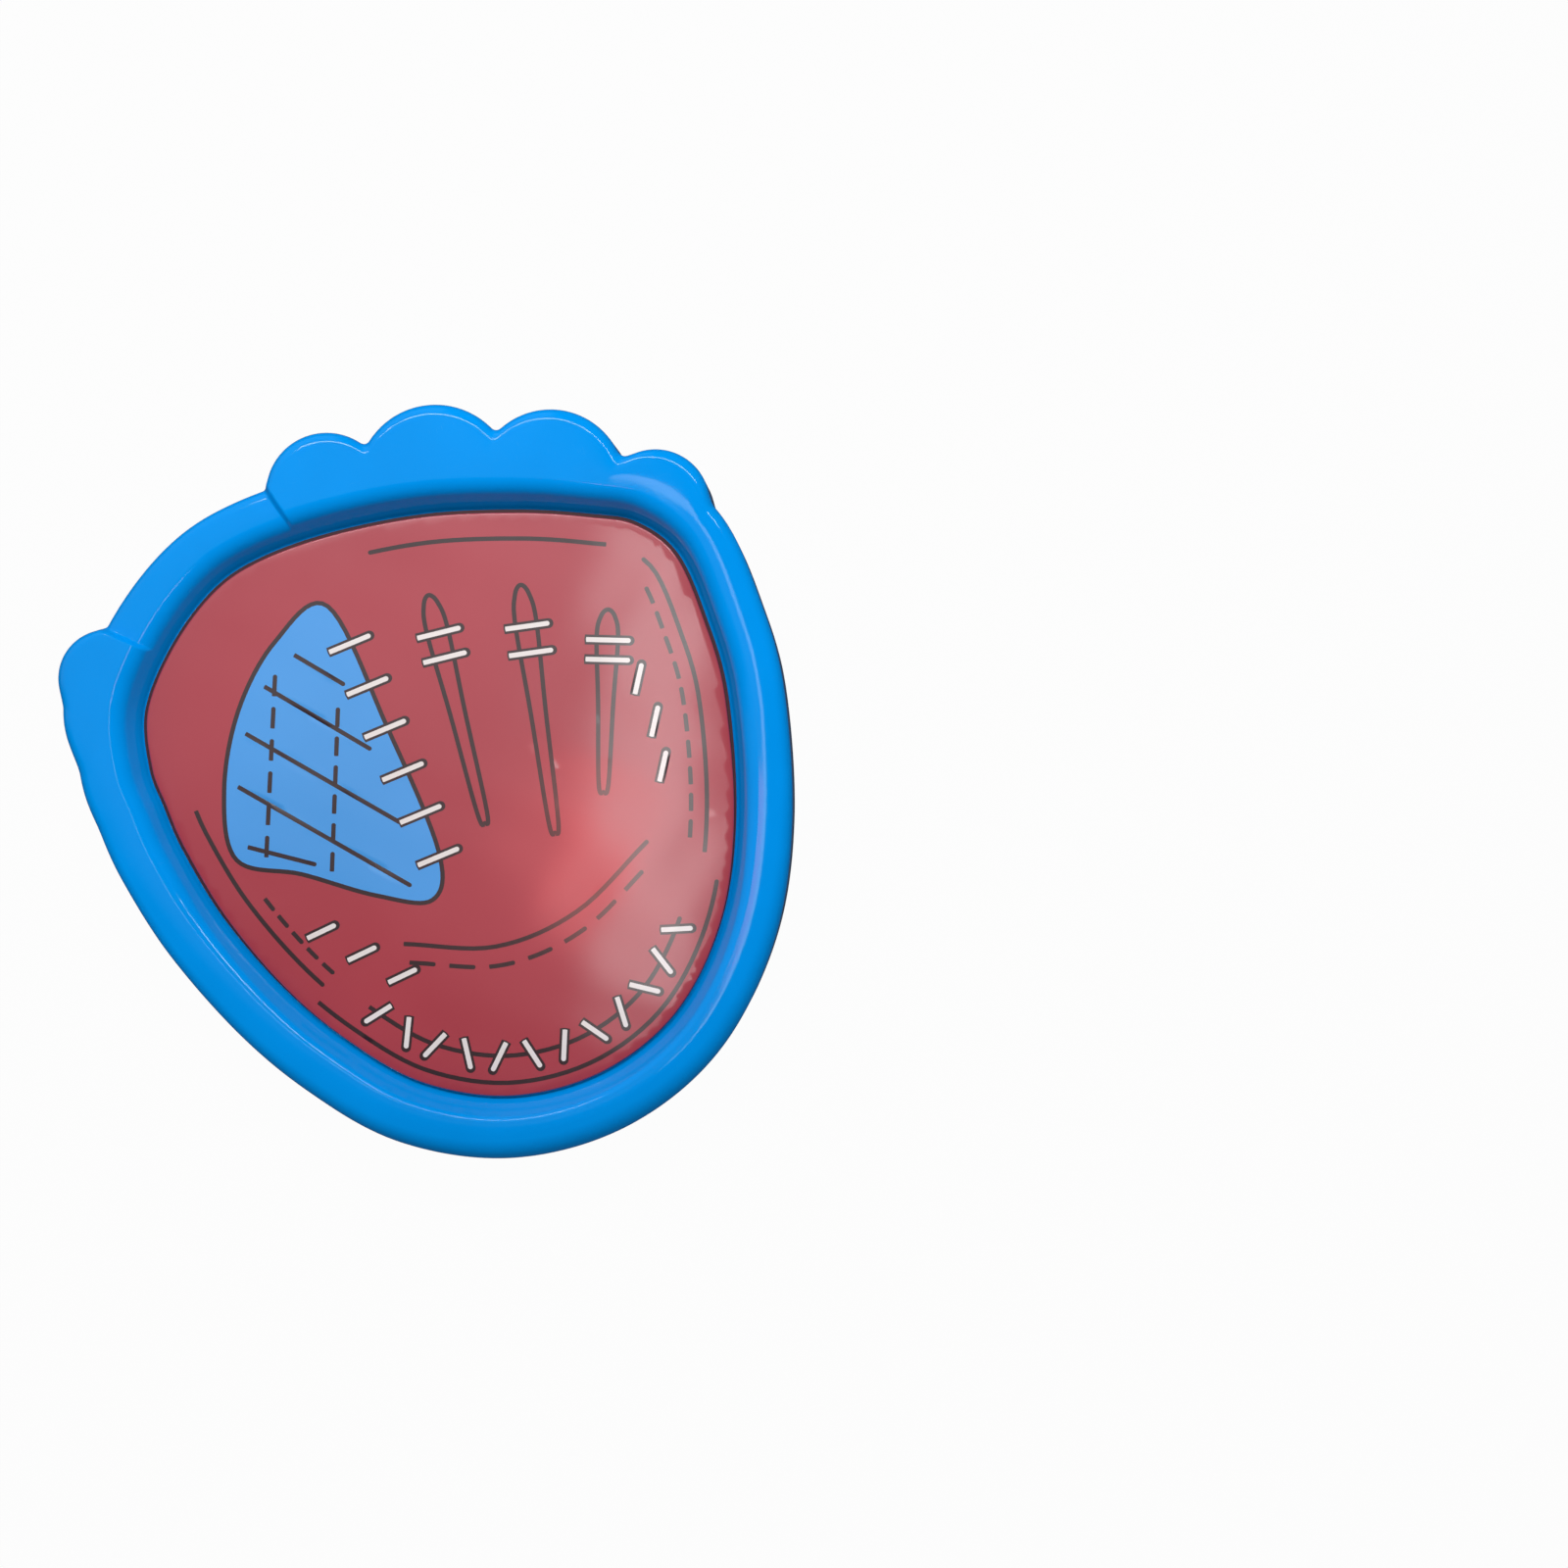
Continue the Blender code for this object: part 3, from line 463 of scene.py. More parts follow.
def strapPosts():
    foot = barHeight - back["barRadius"] - back["postBelowBar"]
    head = floorUnder + mitt["wall"] / 2
    made = []
    for side, end in ((-1, -1), (-1, 1), (1, -1), (1, 1)):
        y = back["strapCentreY"] + end * barLength / 2
        post = begin("cube", size=1.0, location=(side * halfSpan, y, (head + foot) / 2),
                     scale=(back["postWidth"], back["postThick"], head - foot))
        editing(post, "EDGE")
        bpy.ops.mesh.bevel(offset=back["postThick"] / 5, segments=4, affect="EDGES")
        stopEditing()
        made.append(post)
    return joined(made, "strapPosts")


def strapBars():
    made = [begin("cylinder", vertices=40, radius=back["barRadius"], depth=barLength,
                  rotation=(pi / 2, 0, 0), location=(side * halfSpan, back["strapCentreY"], barHeight))
            for side in (-1, 1)]
    return joined(made, "strapBars")


def mouldMarks():
    # the pins that push the moulding out leave shallow round marks under the floor
    made = [begin("cylinder", vertices=48, radius=back["ejectorRadius"], depth=2 * back["ejectorDepth"],
                  location=(x, y, floorUnder)) for x, y in back["ejectorMarks"]]
    return joined(made, "ejectorPins")


def gateNub():
    # what is left where the moulding was twisted off its runner
    x, y = back["gateAt"]
    nub = begin("cylinder", vertices=32, radius=back["gateRadius"], depth=2 * back["gateHeight"],
                location=(x, y, floorUnder - back["gateSunk"]))
    editing(nub, "FACE")
    pickVertices(nub, places(nub)[:, 2] < floorUnder - back["gateHeight"])
    taper = back["gateTaper"]
    bpy.ops.transform.resize(value=(taper, taper, 1.0), center_override=(x, y, floorUnder))
    stopEditing()
    return nub


def finished(piece, angle):
    # everything above is laid out round the middle of the dish; the frame's zero is the box's middle
    editing(piece)
    bpy.ops.transform.translate(value=(-outline.middle[0], -outline.middle[1], 0.0))
    stopEditing()
    bpy.ops.object.shade_smooth_by_angle(angle=radians(angle))
    return piece


def mittShell():
    piece, _ = skin("mittShell", shellRows())
    for addition in (gussetPlates(), strapPosts(), strapBars(), gateNub()):
        applyBoolean(piece, addition, "UNION")
    applyBoolean(piece, mouldMarks(), "DIFFERENCE")
    return finished(piece, 30)


shellPiece = mittShell()
print("moulding done:", len(shellPiece.data.polygons), "faces")


# the hand strap and its fastener tapes
strap = {
    "thickness": 0.0012, "width": 0.0300, "slack": 0.0010, "sewnEnd": 0.0180, "tail": 0.0620,
    "clearance": 0.0003, "tape": 0.0008, "tapeInset": 0.0030, "tapeMargin": 0.0015,
    "tapeBarGap": 0.0160, "foldRun": 0.0110, "across": 21, "waist": 0.12,
}
wrapRadius = back["barRadius"] + strap["clearance"] + strap["thickness"] / 2
tailDrop = strap["thickness"] + 2 * strap["tape"] + 3 * strap["clearance"]
sewnDrop = strap["thickness"] + strap["clearance"]


def strapHeight(x):
    share = np.asarray(x) / halfSpan
    return barHeight + wrapRadius - strap["slack"] * (1 - share**2)


def foldedHeight(x, barSide, drop):
    blend = softStep((halfSpan - barSide * np.asarray(x)) / strap["foldRun"])
    return (1 - blend) * (barHeight - wrapRadius) + blend * (strapHeight(x) - drop)


def strapWay():
    sewnX = np.linspace(-halfSpan + strap["sewnEnd"], -halfSpan, 25)[:-1]
    mainX = np.linspace(-halfSpan, halfSpan, 73)[1:-1]
    tailX = np.linspace(halfSpan, halfSpan - strap["tail"], 61)[1:]
    turns = np.radians(np.linspace(-90, 90, 25))
    aside = halfSpan + wrapRadius * np.cos(turns)
    rise = wrapRadius * np.sin(turns)
    return np.vstack([
        np.column_stack([sewnX, foldedHeight(sewnX, -1, sewnDrop)]),
        np.column_stack([-aside, barHeight + rise]),
        np.column_stack([mainX, strapHeight(mainX)]),
        np.column_stack([aside, barHeight - rise]),
        np.column_stack([tailX, foldedHeight(tailX, 1, tailDrop)]),
    ])


def band(name, way, width, thickness, across, waist=0.0):
    # the band's cross-section is a flat loop with rounded sides; it is carried along its way
    normal = sideNormals(way, closed=False)
    flat = np.linspace(-1.0, 1.0, across)
    side = width / 2 - thickness / 2
    turn = np.linspace(-pi / 2, pi / 2, 7)[1:-1]
    half = [(side * u, -thickness / 2 * (1 - waist * (1 - abs(u) ** 8))) for u in flat]
    half += [(side + thickness / 2 * cos(t), thickness / 2 * sin(t)) for t in turn]
    loop = half + [(-y, -rise) for y, rise in half]
    rows = []
    for (x, z), (aside, up) in zip(way, normal):
        rows.append([(x - aside * rise, back["strapCentreY"] + y, z - up * rise) for y, rise in loop])
    piece, row = skin(name, rows)
    run = runAlong(way)
    along = piece.data.attributes.new("alongBand", "FLOAT", "POINT")
    along.data.foreach_set("value", run[row].astype(np.float32))
    return finished(piece, 50), run[-1]


strapPiece, strapLength = band(
    "handStrap", strapWay(), strap["width"], strap["thickness"], strap["across"], strap["waist"])
tapeX = np.linspace(halfSpan - strap["tail"] + strap["tapeInset"], halfSpan - strap["tapeBarGap"], 60)
tapeWidth = strap["width"] - 2 * strap["tapeMargin"]
loopDrop = strap["thickness"] / 2 + strap["clearance"] + strap["tape"] / 2
hookDrop = loopDrop + strap["tape"] + strap["clearance"]
loopPiece, hookPiece = [
    band(name, np.column_stack([tapeX, strapHeight(tapeX) - drop]), tapeWidth, strap["tape"],
         strap["across"])[0]
    for name, drop in (("loopTape", loopDrop), ("hookTape", hookDrop))]
print("strap done, mm:", round(strapLength * 1000, 1))


# the printed film and its backing
film = {
    "clearance": 0.0003, "thickness": 0.0014, "edgeGap": 0.0006, "edgeRound": 0.0004,
    # the dark backing stands out under the printed top, less so at the heel; this dark ring is partly painted
    # shade of the gap at the film's border, which at the heel lies in light
    "ledge": 0.0009, "ledgeAtHeel": 0.0001, "ledgeHeight": 0.0005, "ledgeSlope": 0.0001,
    # soft rises of the glued film: place, half widths across and along, height
    "rises": ((0.010, 0.074, 0.014, 0.010, 0.00022),
              (-0.040, 0.030, 0.030, 0.026, 0.00010), (-0.010, -0.050, 0.030, 0.018, 0.00010)),
    # the top lies this much lower than the solid's, and its ripples have these heights and rates
    "topSunk": 0.00006, "ripple": 0.00003, "rippleRates": (210, 95, 170),
    "roundLevels": 4, "gridStep": 0.0018, "weld": 1e-5,
}
printKinds = ("red", "web", "line", "lace", "side")
drawn = {
    "line": 0.0012, "lace": 0.0013, "laceBorder": 0.0007, "rung": 0.0120, "stitch": 0.0085,
    "stitchSlant": 24.0, "heelStitches": 12, "webRungs": 6, "dashShare": 0.6,
    "margin": 0.0085, "heelMargin": 0.0115,
}


def filmTop(x, y):
    height = np.full(np.shape(x), floorTop + film["clearance"] + film["thickness"] - film["topSunk"])
    for atX, atY, halfX, halfY, rise in film["rises"]:
        height = height + rise * np.exp(-(((x - atX) / halfX) ** 2) - ((y - atY) / halfY) ** 2)
    across, bend, along = film["rippleRates"]
    waves = np.sin(x * across + 1.3 * np.sin(y * bend)) * np.sin(y * along + 0.7)
    return height + film["ripple"] * waves


def stroke(points, width):
    # a drawn line with round ends
    points = np.array(points, dtype=float)
    normal = sideNormals(points, closed=False)
    along = np.stack([-normal[:, 1], normal[:, 0]], axis=1)
    turns = np.radians(np.linspace(-75, 75, 7))[:, None]
    tail = points[0] - (along[0] * np.cos(turns) + normal[0] * np.sin(turns)) * width / 2
    head = points[-1] + (along[-1] * np.cos(turns) - normal[-1] * np.sin(turns)) * width / 2
    return np.vstack([tail, points + normal * width / 2, head, (points - normal * width / 2)[::-1]])


# fields of colour, where a later field covers an earlier one
printed = []


def at(shares):
    return np.array(shares, dtype=float) * (mitt["dishWidth"] / 2, mitt["dishLength"] / 2)


def line(points):
    printed.append((stroke(points, drawn["line"]), "line"))


def lace(middle, heading, length):
    along = np.array([cos(heading), sin(heading)])
    wide, border = drawn["lace"], drawn["laceBorder"]
    for width, reach, colour in ((wide + 2 * border, length / 2, "line"),
                                 (wide, length / 2 - border / 2, "lace")):
        printed.append((stroke([middle - along * reach, middle + along * reach], width), colour))


def outlined(points, colour, steps):
    loop = smoothCurve(points, steps, closed=True)
    normal = sideNormals(loop, closed=True)
    printed.append((loop + normal * drawn["line"] / 2, "line"))
    printed.append((loop - normal * drawn["line"] / 2, colour))


def besideEdge(first, last, inset):
    spots = np.linspace(first, last, ceil(abs(last - first) / 2.5) + 1)
    return np.array([outline.besideFloor(spot % 360, -inset) for spot in spots])


def dashes(points, count):
    points = smoothCurve(points, 8, closed=False)
    run = runAlong(points)
    pitch = run[-1] / count
    for i in range(count):
        ways = np.linspace(i * pitch, (i + drawn["dashShare"]) * pitch, 4)
        line(np.column_stack([np.interp(ways, run, column) for column in points.T]))


def drawWeb():
    outlined(at(((-0.24, 0.76), (-0.45, 0.70), (-0.64, 0.52), (-0.77, 0.28), (-0.80, 0.05),
                 (-0.60, -0.06), (-0.38, -0.20), (-0.20, -0.27), (-0.13, -0.12), (-0.17, 0.32))),
             "web", 10)
    for ends in (((-0.40, 0.64), (-0.27, 0.50)), ((-0.53, 0.57), (-0.25, 0.27)),
                 ((-0.64, 0.44), (-0.23, 0.01)), ((-0.72, 0.28), (-0.26, -0.20)),
                 ((-0.75, 0.08), (-0.55, -0.04))):
        line(at(ends))
    for ends in (((-0.70, 0.03), (-0.47, 0.63)), ((-0.50, -0.08), (-0.30, 0.46))):
        dashes(at(ends), 6)
    seam = at(((-0.21, 0.62), (-0.14, -0.14)))
    heading = atan2(*(seam[1] - seam[0])[::-1]) + pi / 2
    for share in np.linspace(0.0, 1.0, drawn["webRungs"]):
        lace(seam[0] + (seam[1] - seam[0]) * share, heading, drawn["rung"])


def drawFingers():
    slits = (((0.10, 0.68), (0.05, -0.08)), ((0.41, 0.62), (0.27, -0.18)), ((0.67, 0.46), (0.47, -0.10)))
    halfWidths = ((0.02, 1.6), (0.14, 2.4), (0.50, 1.7), (0.95, 1.1))
    for head, foot in slits:
        head, foot = at((head, foot))
        course = foot - head
        across = np.array([-course[1], course[0]]) / np.linalg.norm(course)
        left, right = [
            [head + course * share + side * across * drawn["line"] * wide
             for share, wide in halfWidths] for side in (-1, 1)]
        outlined([head - course * 0.02, *left, foot, *reversed(right)], "red", 8)
        for share in (0.15, 0.26):
            lace(head + course * share, atan2(across[1], across[0]), drawn["rung"])
    line(besideEdge(46, 92, drawn["margin"]))


def drawHeel():
    seam = besideEdge(226, 316, drawn["heelMargin"])
    line(seam)
    index = np.arange(len(seam))
    normal = sideNormals(seam, closed=False)
    for i, spot in enumerate(np.linspace(1.0, len(seam) - 2.0, drawn["heelStitches"])):
        middle = np.array([np.interp(spot, index, column) for column in seam.T])
        outward = normal[round(spot)]
        slant = radians(drawn["stitchSlant"]) * (1 if i % 2 else -1)
        lace(middle, atan2(outward[1], outward[0]) + slant, drawn["stitch"])
    line(besideEdge(216, 326, drawn["margin"] / 2))
    palm = ((-0.34, -0.38), (-0.04, -0.48), (0.26, -0.45), (0.56, -0.30))
    line(smoothCurve(at(palm), 8, closed=False))
    dashes(at([(u, v - 0.065) for u, v in palm]), 7)


def drawSides():
    line(besideEdge(-28, 36, drawn["margin"]))
    dashes(besideEdge(-25, 32, 1.5 * drawn["margin"]), 10)
    line(besideEdge(166, 214, drawn["margin"]))
    dashes(besideEdge(190, 216, 1.5 * drawn["margin"]), 5)
    for turn, spots in ((60, ((0.70, 0.22), (0.71, 0.07), (0.69, -0.08))),
                        (8, ((-0.60, -0.26), (-0.49, -0.37), (-0.38, -0.48)))):
        for spot in spots:
            lace(at(spot), radians(turn), drawn["stitch"])


def faceFilm():
    # the top is cut into its printed fields as one flat mesh with no gaps, which the edit
    # operators can't do without a window; the rest is extruded from its rim
    # painted shade: the dark ledge is wide where the film's border lies in shadow and narrow at the heel,
    # where light reaches
    towardsHeel = np.clip(-np.sin(outline.floorAngle) * 1.3, 0, 1)
    ledge = film["ledge"] + (film["ledgeAtHeel"] - film["ledge"]) * towardsHeel
    inset = (film["edgeGap"] + film["edgeRound"] + ledge)[:, None]
    rim = outline.floor - outline.floorNormal * inset
    for draw in (drawWeb, drawFingers, drawHeel, drawSides):
        draw()
    fields = [(rim, "red")] + printed
    # cut in millimetres, because the tolerance of the cut suits such numbers
    points = [Vector(point * 1000) for field, _ in fields for point in field]
    loops = []
    count = 0
    for field, _ in fields:
        loops.append(list(range(count, count + len(field))))
        count += len(field)
    step = film["gridStep"]
    halves = [np.arange(-size / 2, size / 2, step) for size in (mitt["dishWidth"], mitt["dishLength"])]
    grid = np.stack(np.meshgrid(*halves, indexing="ij"), axis=-1).reshape(-1, 2)
    inner = outline.floor - outline.floorNormal * (inset + step / 2)
    limit = readRound(angleOf(grid), angleOf(inner), np.linalg.norm(inner, axis=1)[:, None])[:, 0]
    points += [Vector(point * 1000) for point in grid[np.linalg.norm(grid, axis=1) < limit]]
    flat, _, triangles, _, _, sources = delaunay_2d_cdt(points, [], loops, 1, film["weld"])
    spots = np.array(flat) / 1000
    data = bpy.data.meshes.new("faceFilm")
    data.from_pydata(np.column_stack([spots, np.zeros(len(spots))]).tolist(), [], triangles)
    kinds = [printKinds.index(fields[max(owner)][1]) for owner in sources]
    data.polygons.foreach_set("material_index", kinds)
    piece = newObject("faceFilm", data)

    editing(piece, "EDGE")
    bpy.ops.mesh.region_to_loop()
    # levels of the side: first the rounded edge, then the ledge's root, its brink and the bottom
    bottom = floorTop + film["clearance"]
    ledgeTop = bottom + film["ledgeHeight"]
    heights = np.array([ledgeTop + film["ledgeSlope"], ledgeTop, bottom])
    rounds = film["roundLevels"]
    for _ in range(rounds + len(heights)):
        extrude((0, 0, -1))
    bpy.ops.mesh.edge_face_add()
    stopEditing()

    found = places(piece)
    level = np.rint(-found[:, 2]).astype(int)
    top = filmTop(found[:, 0], found[:, 1])
    nearest = unit(readRound(angleOf(found[:, :2]), angleOf(rim), outline.floorNormal))
    turn = np.clip(level / rounds, 0, 1) * pi / 2
    proud = readRound(angleOf(found[:, :2]), angleOf(rim), ledge[:, None])[:, 0]
    push = np.sin(turn) * film["edgeRound"] + np.where(level > rounds + 1, proud, 0.0)
    drop = (1 - np.cos(turn)) * film["edgeRound"]
    found[:, :2] += nearest * push[:, None]
    below = heights[np.clip(level - rounds - 1, 0, 2)]
    found[:, 2] = np.where(level > rounds, below, top - drop)
    moveTo(piece, found)
    for polygon in piece.data.polygons:
        if max(level[v] for v in polygon.vertices) >= rounds:
            polygon.material_index = printKinds.index("side")
    facesOut(piece)
    return finished(piece, 40)


filmPiece = faceFilm()
print("film done:", len(filmPiece.data.polygons), "faces")


# the thread that sews the strap and its tapes
stitching = {
    "length": 0.0021, "gap": 0.0007, "thick": 0.00022, "inset": 0.0016,
    "boxFrom": -0.0426, "boxTo": -0.0376, "boxHalfWidth": 0.0124,
    "tailInset": 0.0016, "tailHalfWidth": 0.0125, "slopeReach": 0.0005,
}
# the thread lies sunk a little in the webbing
threadLevel = strap["thickness"] * 0.44


def mainTop(x):
    return strapHeight(x) + threadLevel


def sewnBottom(x):
    return foldedHeight(x, -1, sewnDrop) - threadLevel


def tailBottom(x):
    return foldedHeight(x, 1, tailDrop) - threadLevel


def seamStitches(start, end, surface):
    # places and headings of the stitches on a straight seam, with the surface's slope
    start, end = np.array(start), np.array(end)
    length = np.linalg.norm(end - start)
    heading = (end - start) / length
    count = max(1, round(length / (stitching["length"] + stitching["gap"])))
    reach = stitching["slopeReach"]
    made = []
    for i in range(count):
        x, y = start + (end - start) * (i + 0.5) / count
        rise = (surface(x + reach) - surface(x - reach)) / (2 * reach)
        made.append(((x, y, surface(x)), (*heading, rise * heading[0])))
    return made


def boxSeam(fromX, toX, halfWidth, surface, crossed):
    y = back["strapCentreY"]
    low, high = (fromX, y - halfWidth), (toX, y + halfWidth)
    corners = [low, (toX, y - halfWidth), high, (fromX, y + halfWidth), low]
    made = []
    for a, b in zip(corners, corners[1:]):
        made += seamStitches(a, b, surface)
    if crossed:
        made += seamStitches(low, high, surface) + seamStitches(corners[1], corners[3], surface)
    return made


def strapStitches():
    single = begin("uv_sphere", segments=8, ring_count=7, radius=1.0, rotation=(0, pi / 2, 0))
    editing(single)
    bpy.ops.transform.resize(value=(stitching["length"] / 2, stitching["thick"] * 1.1, stitching["thick"]))
    stopEditing()
    base = places(single)
    spots = []
    for surface in (mainTop, sewnBottom):
        spots += boxSeam(stitching["boxFrom"], stitching["boxTo"], stitching["boxHalfWidth"], surface, True)
    inset = stitching["inset"]
    for surface in (mainTop, tailBottom):
        spots += boxSeam(tapeX[0] + inset, tapeX[-1] - inset, tapeWidth / 2 - inset, surface, False)
    tailEnd = halfSpan - strap["tail"] + stitching["tailInset"]
    y, halfWidth = back["strapCentreY"], stitching["tailHalfWidth"]
    spots += seamStitches((tailEnd, y - halfWidth), (tailEnd, y + halfWidth), tailBottom)
    made = []
    for (x, y, z), heading in spots:
        copy = newObject("stitch", single.data.copy())
        turn = Vector((1, 0, 0)).rotation_difference(Vector(heading).normalized()).to_matrix()
        moveTo(copy, base @ np.array(turn).T + (x, y, z))
        made.append(copy)
    bpy.data.objects.remove(single, do_unlink=True)
    return finished(joined(made, "strapStitches"), 60)


stitchPiece = strapStitches()
print("stitches done:", len(stitchPiece.data.polygons), "faces")


class NodeWork:
    # short ways to add and join the nodes of a material or the world

    def __init__(self, owner):
        owner.use_nodes = True
        self.tree = owner.node_tree

    def add(self, kind, **settings):
        node = self.tree.nodes.new("ShaderNode" + kind)
        for name, value in settings.items():
            setattr(node, name, value)
        return node

    def feed(self, socket, value):
        if isinstance(value, bpy.types.NodeSocket):
            self.tree.links.new(value, socket)
        else:
            socket.default_value = value

    def fill(self, node, **values):
        for name, value in values.items():
            self.feed(node.inputs[name.replace("_", " ")], value)
        return node

    def result(self, kind, values, **settings):
        # a node with its inputs fed in their order, read at its first output
        node = self.add(kind, **settings)
        for socket, value in zip(node.inputs, values):
            self.feed(socket, value)
        return node.outputs[0]

    def math(self, operation, *values):
        return self.result("Math", values, operation=operation)

    def times(self, first, second):
        return self.math("MULTIPLY", first, second)

    def spread(self, value, fromLow, fromHigh, low, high):
        return self.result("MapRange", (value, fromLow, fromHigh, low, high))

    def rayIs(self, *kinds):
        # one where any of these kinds of ray arrives
        path = self.add("LightPath")
        found = path.outputs[kinds[0]]
        for kind in kinds[1:]:
            found = self.math("MAXIMUM", found, path.outputs[kind])
        return found


class Finish(NodeWork):
    # a Principled material

    def __init__(self, name, colour, **constants):
        self.material = bpy.data.materials.new(name)
        super().__init__(self.material)
        self.shader = self.tree.nodes["Principled BSDF"]
        self.colour = linear(colour)
        self.into(Base_Color=(*self.colour, 1.0), **constants)
        self.material.diffuse_color = (*self.colour, 1.0)
        self.coordinates = self.add("TexCoord").outputs["Object"]

    def into(self, **values):
        self.fill(self.shader, **values)

    def along(self, axis):
        return self.fill(self.add("SeparateXYZ"), Vector=self.coordinates).outputs[axis]

    def noise(self, scale, detail=2.0, roughness=0.5, stretch=None):
        place = self.coordinates
        if stretch:
            place = self.fill(self.add("Mapping"), Vector=place, Scale=stretch).outputs["Vector"]
        node = self.fill(self.add("TexNoise"), Vector=place, Scale=scale, Detail=detail, Roughness=roughness)
        return node.outputs["Fac"]

    def pattern(self, noise, *ranges):
        # a noise that is drawn out from one range into another
        return self.spread(self.noise(*noise), *ranges)

    def mix(self, share, first, second):
        first, second = [shade if isinstance(shade, bpy.types.NodeSocket) else (*shade, 1.0)
                         for shade in (first, second)]
        return self.fill(self.add("Mix", data_type="RGBA"), Factor=share, A=first, B=second).outputs["Result"]

    def tinted(self, share, tints):
        # from a darker to a lighter tint of the own colour
        return self.mix(share, *[[min(1.0, c * tint) for c in self.colour] for tint in tints])

    def bumps(self, *layers):
        # coarse first: each layer has its height, or the noise that gives it, and its depth
        under = None
        for height, depth in layers:
            if isinstance(height, tuple):
                height = self.noise(*height)
            node = self.fill(self.add("Bump"), Strength=1.0, Distance=depth, Height=height)
            if under:
                self.fill(node, Normal=under)
            under = node.outputs["Normal"]
        self.into(Normal=under)


def linear(colour):
    shares = [value / 255 for value in colour]
    return [share / 12.92 if share <= 0.04045 else ((share + 0.055) / 1.055) ** 2.4 for share in shares]


# a pattern has the scale, detail and roughness of its noise, then the range it is drawn from and into
plastic = {
    "colour": (0, 147, 236), "indexOfRefraction": 1.27,
    "tints": (0.955, 1.03), "clouds": ((22, 3, 0.6), 0.3, 0.7, 0, 1),
    "smears": ((38, 3, 0.6), 0.15, 0.85, 0.045, 0.08),
    "bumps": (((60, 1, 0.4), 0.00003), ((2600,), 0.0000012)),
    # handling wear: fine scratches two ways, in patches, and scuffs along the foot
    "scratches": (((1, 2, 0.5, (240, 5200, 240)), 0.70, 0.76, 0, 1),
                  ((1, 2, 0.5, (4600, 300, 300)), 0.71, 0.77, 0, 1)),
    "scratchPatches": ((45,), 0.5, 0.68, 0, 1), "scratchShare": 0.28,
    "scuffs": ((420, 4, 0.7), 0.45, 0.7, 0, 1), "scuffHeights": (0.0002, 0.0022), "scuffShare": 0.75,
    "worn": (88, 168, 226), "wornRoughness": 0.35,
}
filmFinish = {
    # the side's dark maroon is partly the film's own dark cut edge and partly painted shade of the gap along
    # its border
    "colours": {"red": (173, 54, 68), "web": (66, 156, 232), "line": (48, 26, 32),
                "lace": (236, 228, 226), "side": (66, 28, 34)},
    "gloss": 1.5, "coatRoughness": 0.13,
    "tints": (0.92, 1.08), "clouds": ((16,), 0.15, 0.85, 0, 1),
    "smears": ((60,), 0.15, 0.85, 0.32, 0.42),
    "bumps": (((55, 1.5, 0.45), 0.00006), ((900,), 0.0000035)),
    "sideRoughness": 0.7, "sideBump": ((1500, 3), 0.00002),
}
webbing = {
    "colour": (34, 35, 38), "light": (62, 64, 70), "yarn": 0.0011, "weaveHeight": 0.00022,
    "fibre": (5200, 2, 0.6), "fibreHeight": 0.00005, "fibreTint": (0.3, 0.7, 0.55, 1.0), "crossing": 0.12,
}
# colour, light colour, scale and height of the loops and of the hooks
tapeFinish = {
    "loopPile": ((24, 24, 27), (64, 65, 70), 1900, 0.0002),
    "hookRows": ((20, 20, 22), (50, 51, 55), 1300, 0.0003),
}
thread = {"colour": (58, 60, 66), "tints": (0.6, 1.5), "twistScale": 700, "twistHeight": 0.00004}


def bluePlastic():
    look = Finish("bluePlastic", plastic["colour"], IOR=plastic["indexOfRefraction"])
    colour = look.tinted(look.pattern(*plastic["clouds"]), plastic["tints"])
    first, second = [look.pattern(*scratch) for scratch in plastic["scratches"]]
    scratch = look.times(look.math("MAXIMUM", first, second), look.pattern(*plastic["scratchPatches"]))
    low = look.spread(look.along("Z"), *plastic["scuffHeights"], 1, 0)
    scuff = look.times(low, look.pattern(*plastic["scuffs"]))
    worn = look.math("MAXIMUM", look.times(scratch, plastic["scratchShare"]),
                     look.times(scuff, plastic["scuffShare"]))
    look.into(Base_Color=look.mix(worn, colour, linear(plastic["worn"])))
    smear = look.pattern(*plastic["smears"])
    look.into(Roughness=look.math("ADD", smear, look.times(worn, plastic["wornRoughness"])))
    look.bumps(*plastic["bumps"])
    return look.material


def printedFilm(kind):
    look = Finish("film_" + kind, filmFinish["colours"][kind], IOR=filmFinish["gloss"], Coat_Weight=1.0,
                  Coat_Roughness=filmFinish["coatRoughness"], Coat_IOR=filmFinish["gloss"])
    look.into(Base_Color=look.tinted(look.pattern(*filmFinish["clouds"]), filmFinish["tints"]))
    if kind == "side":
        look.into(Coat_Weight=0.0, Roughness=filmFinish["sideRoughness"])
        look.bumps(filmFinish["sideBump"])
    else:
        look.into(Roughness=look.pattern(*filmFinish["smears"]))
        look.bumps(*filmFinish["bumps"])
    return look.material


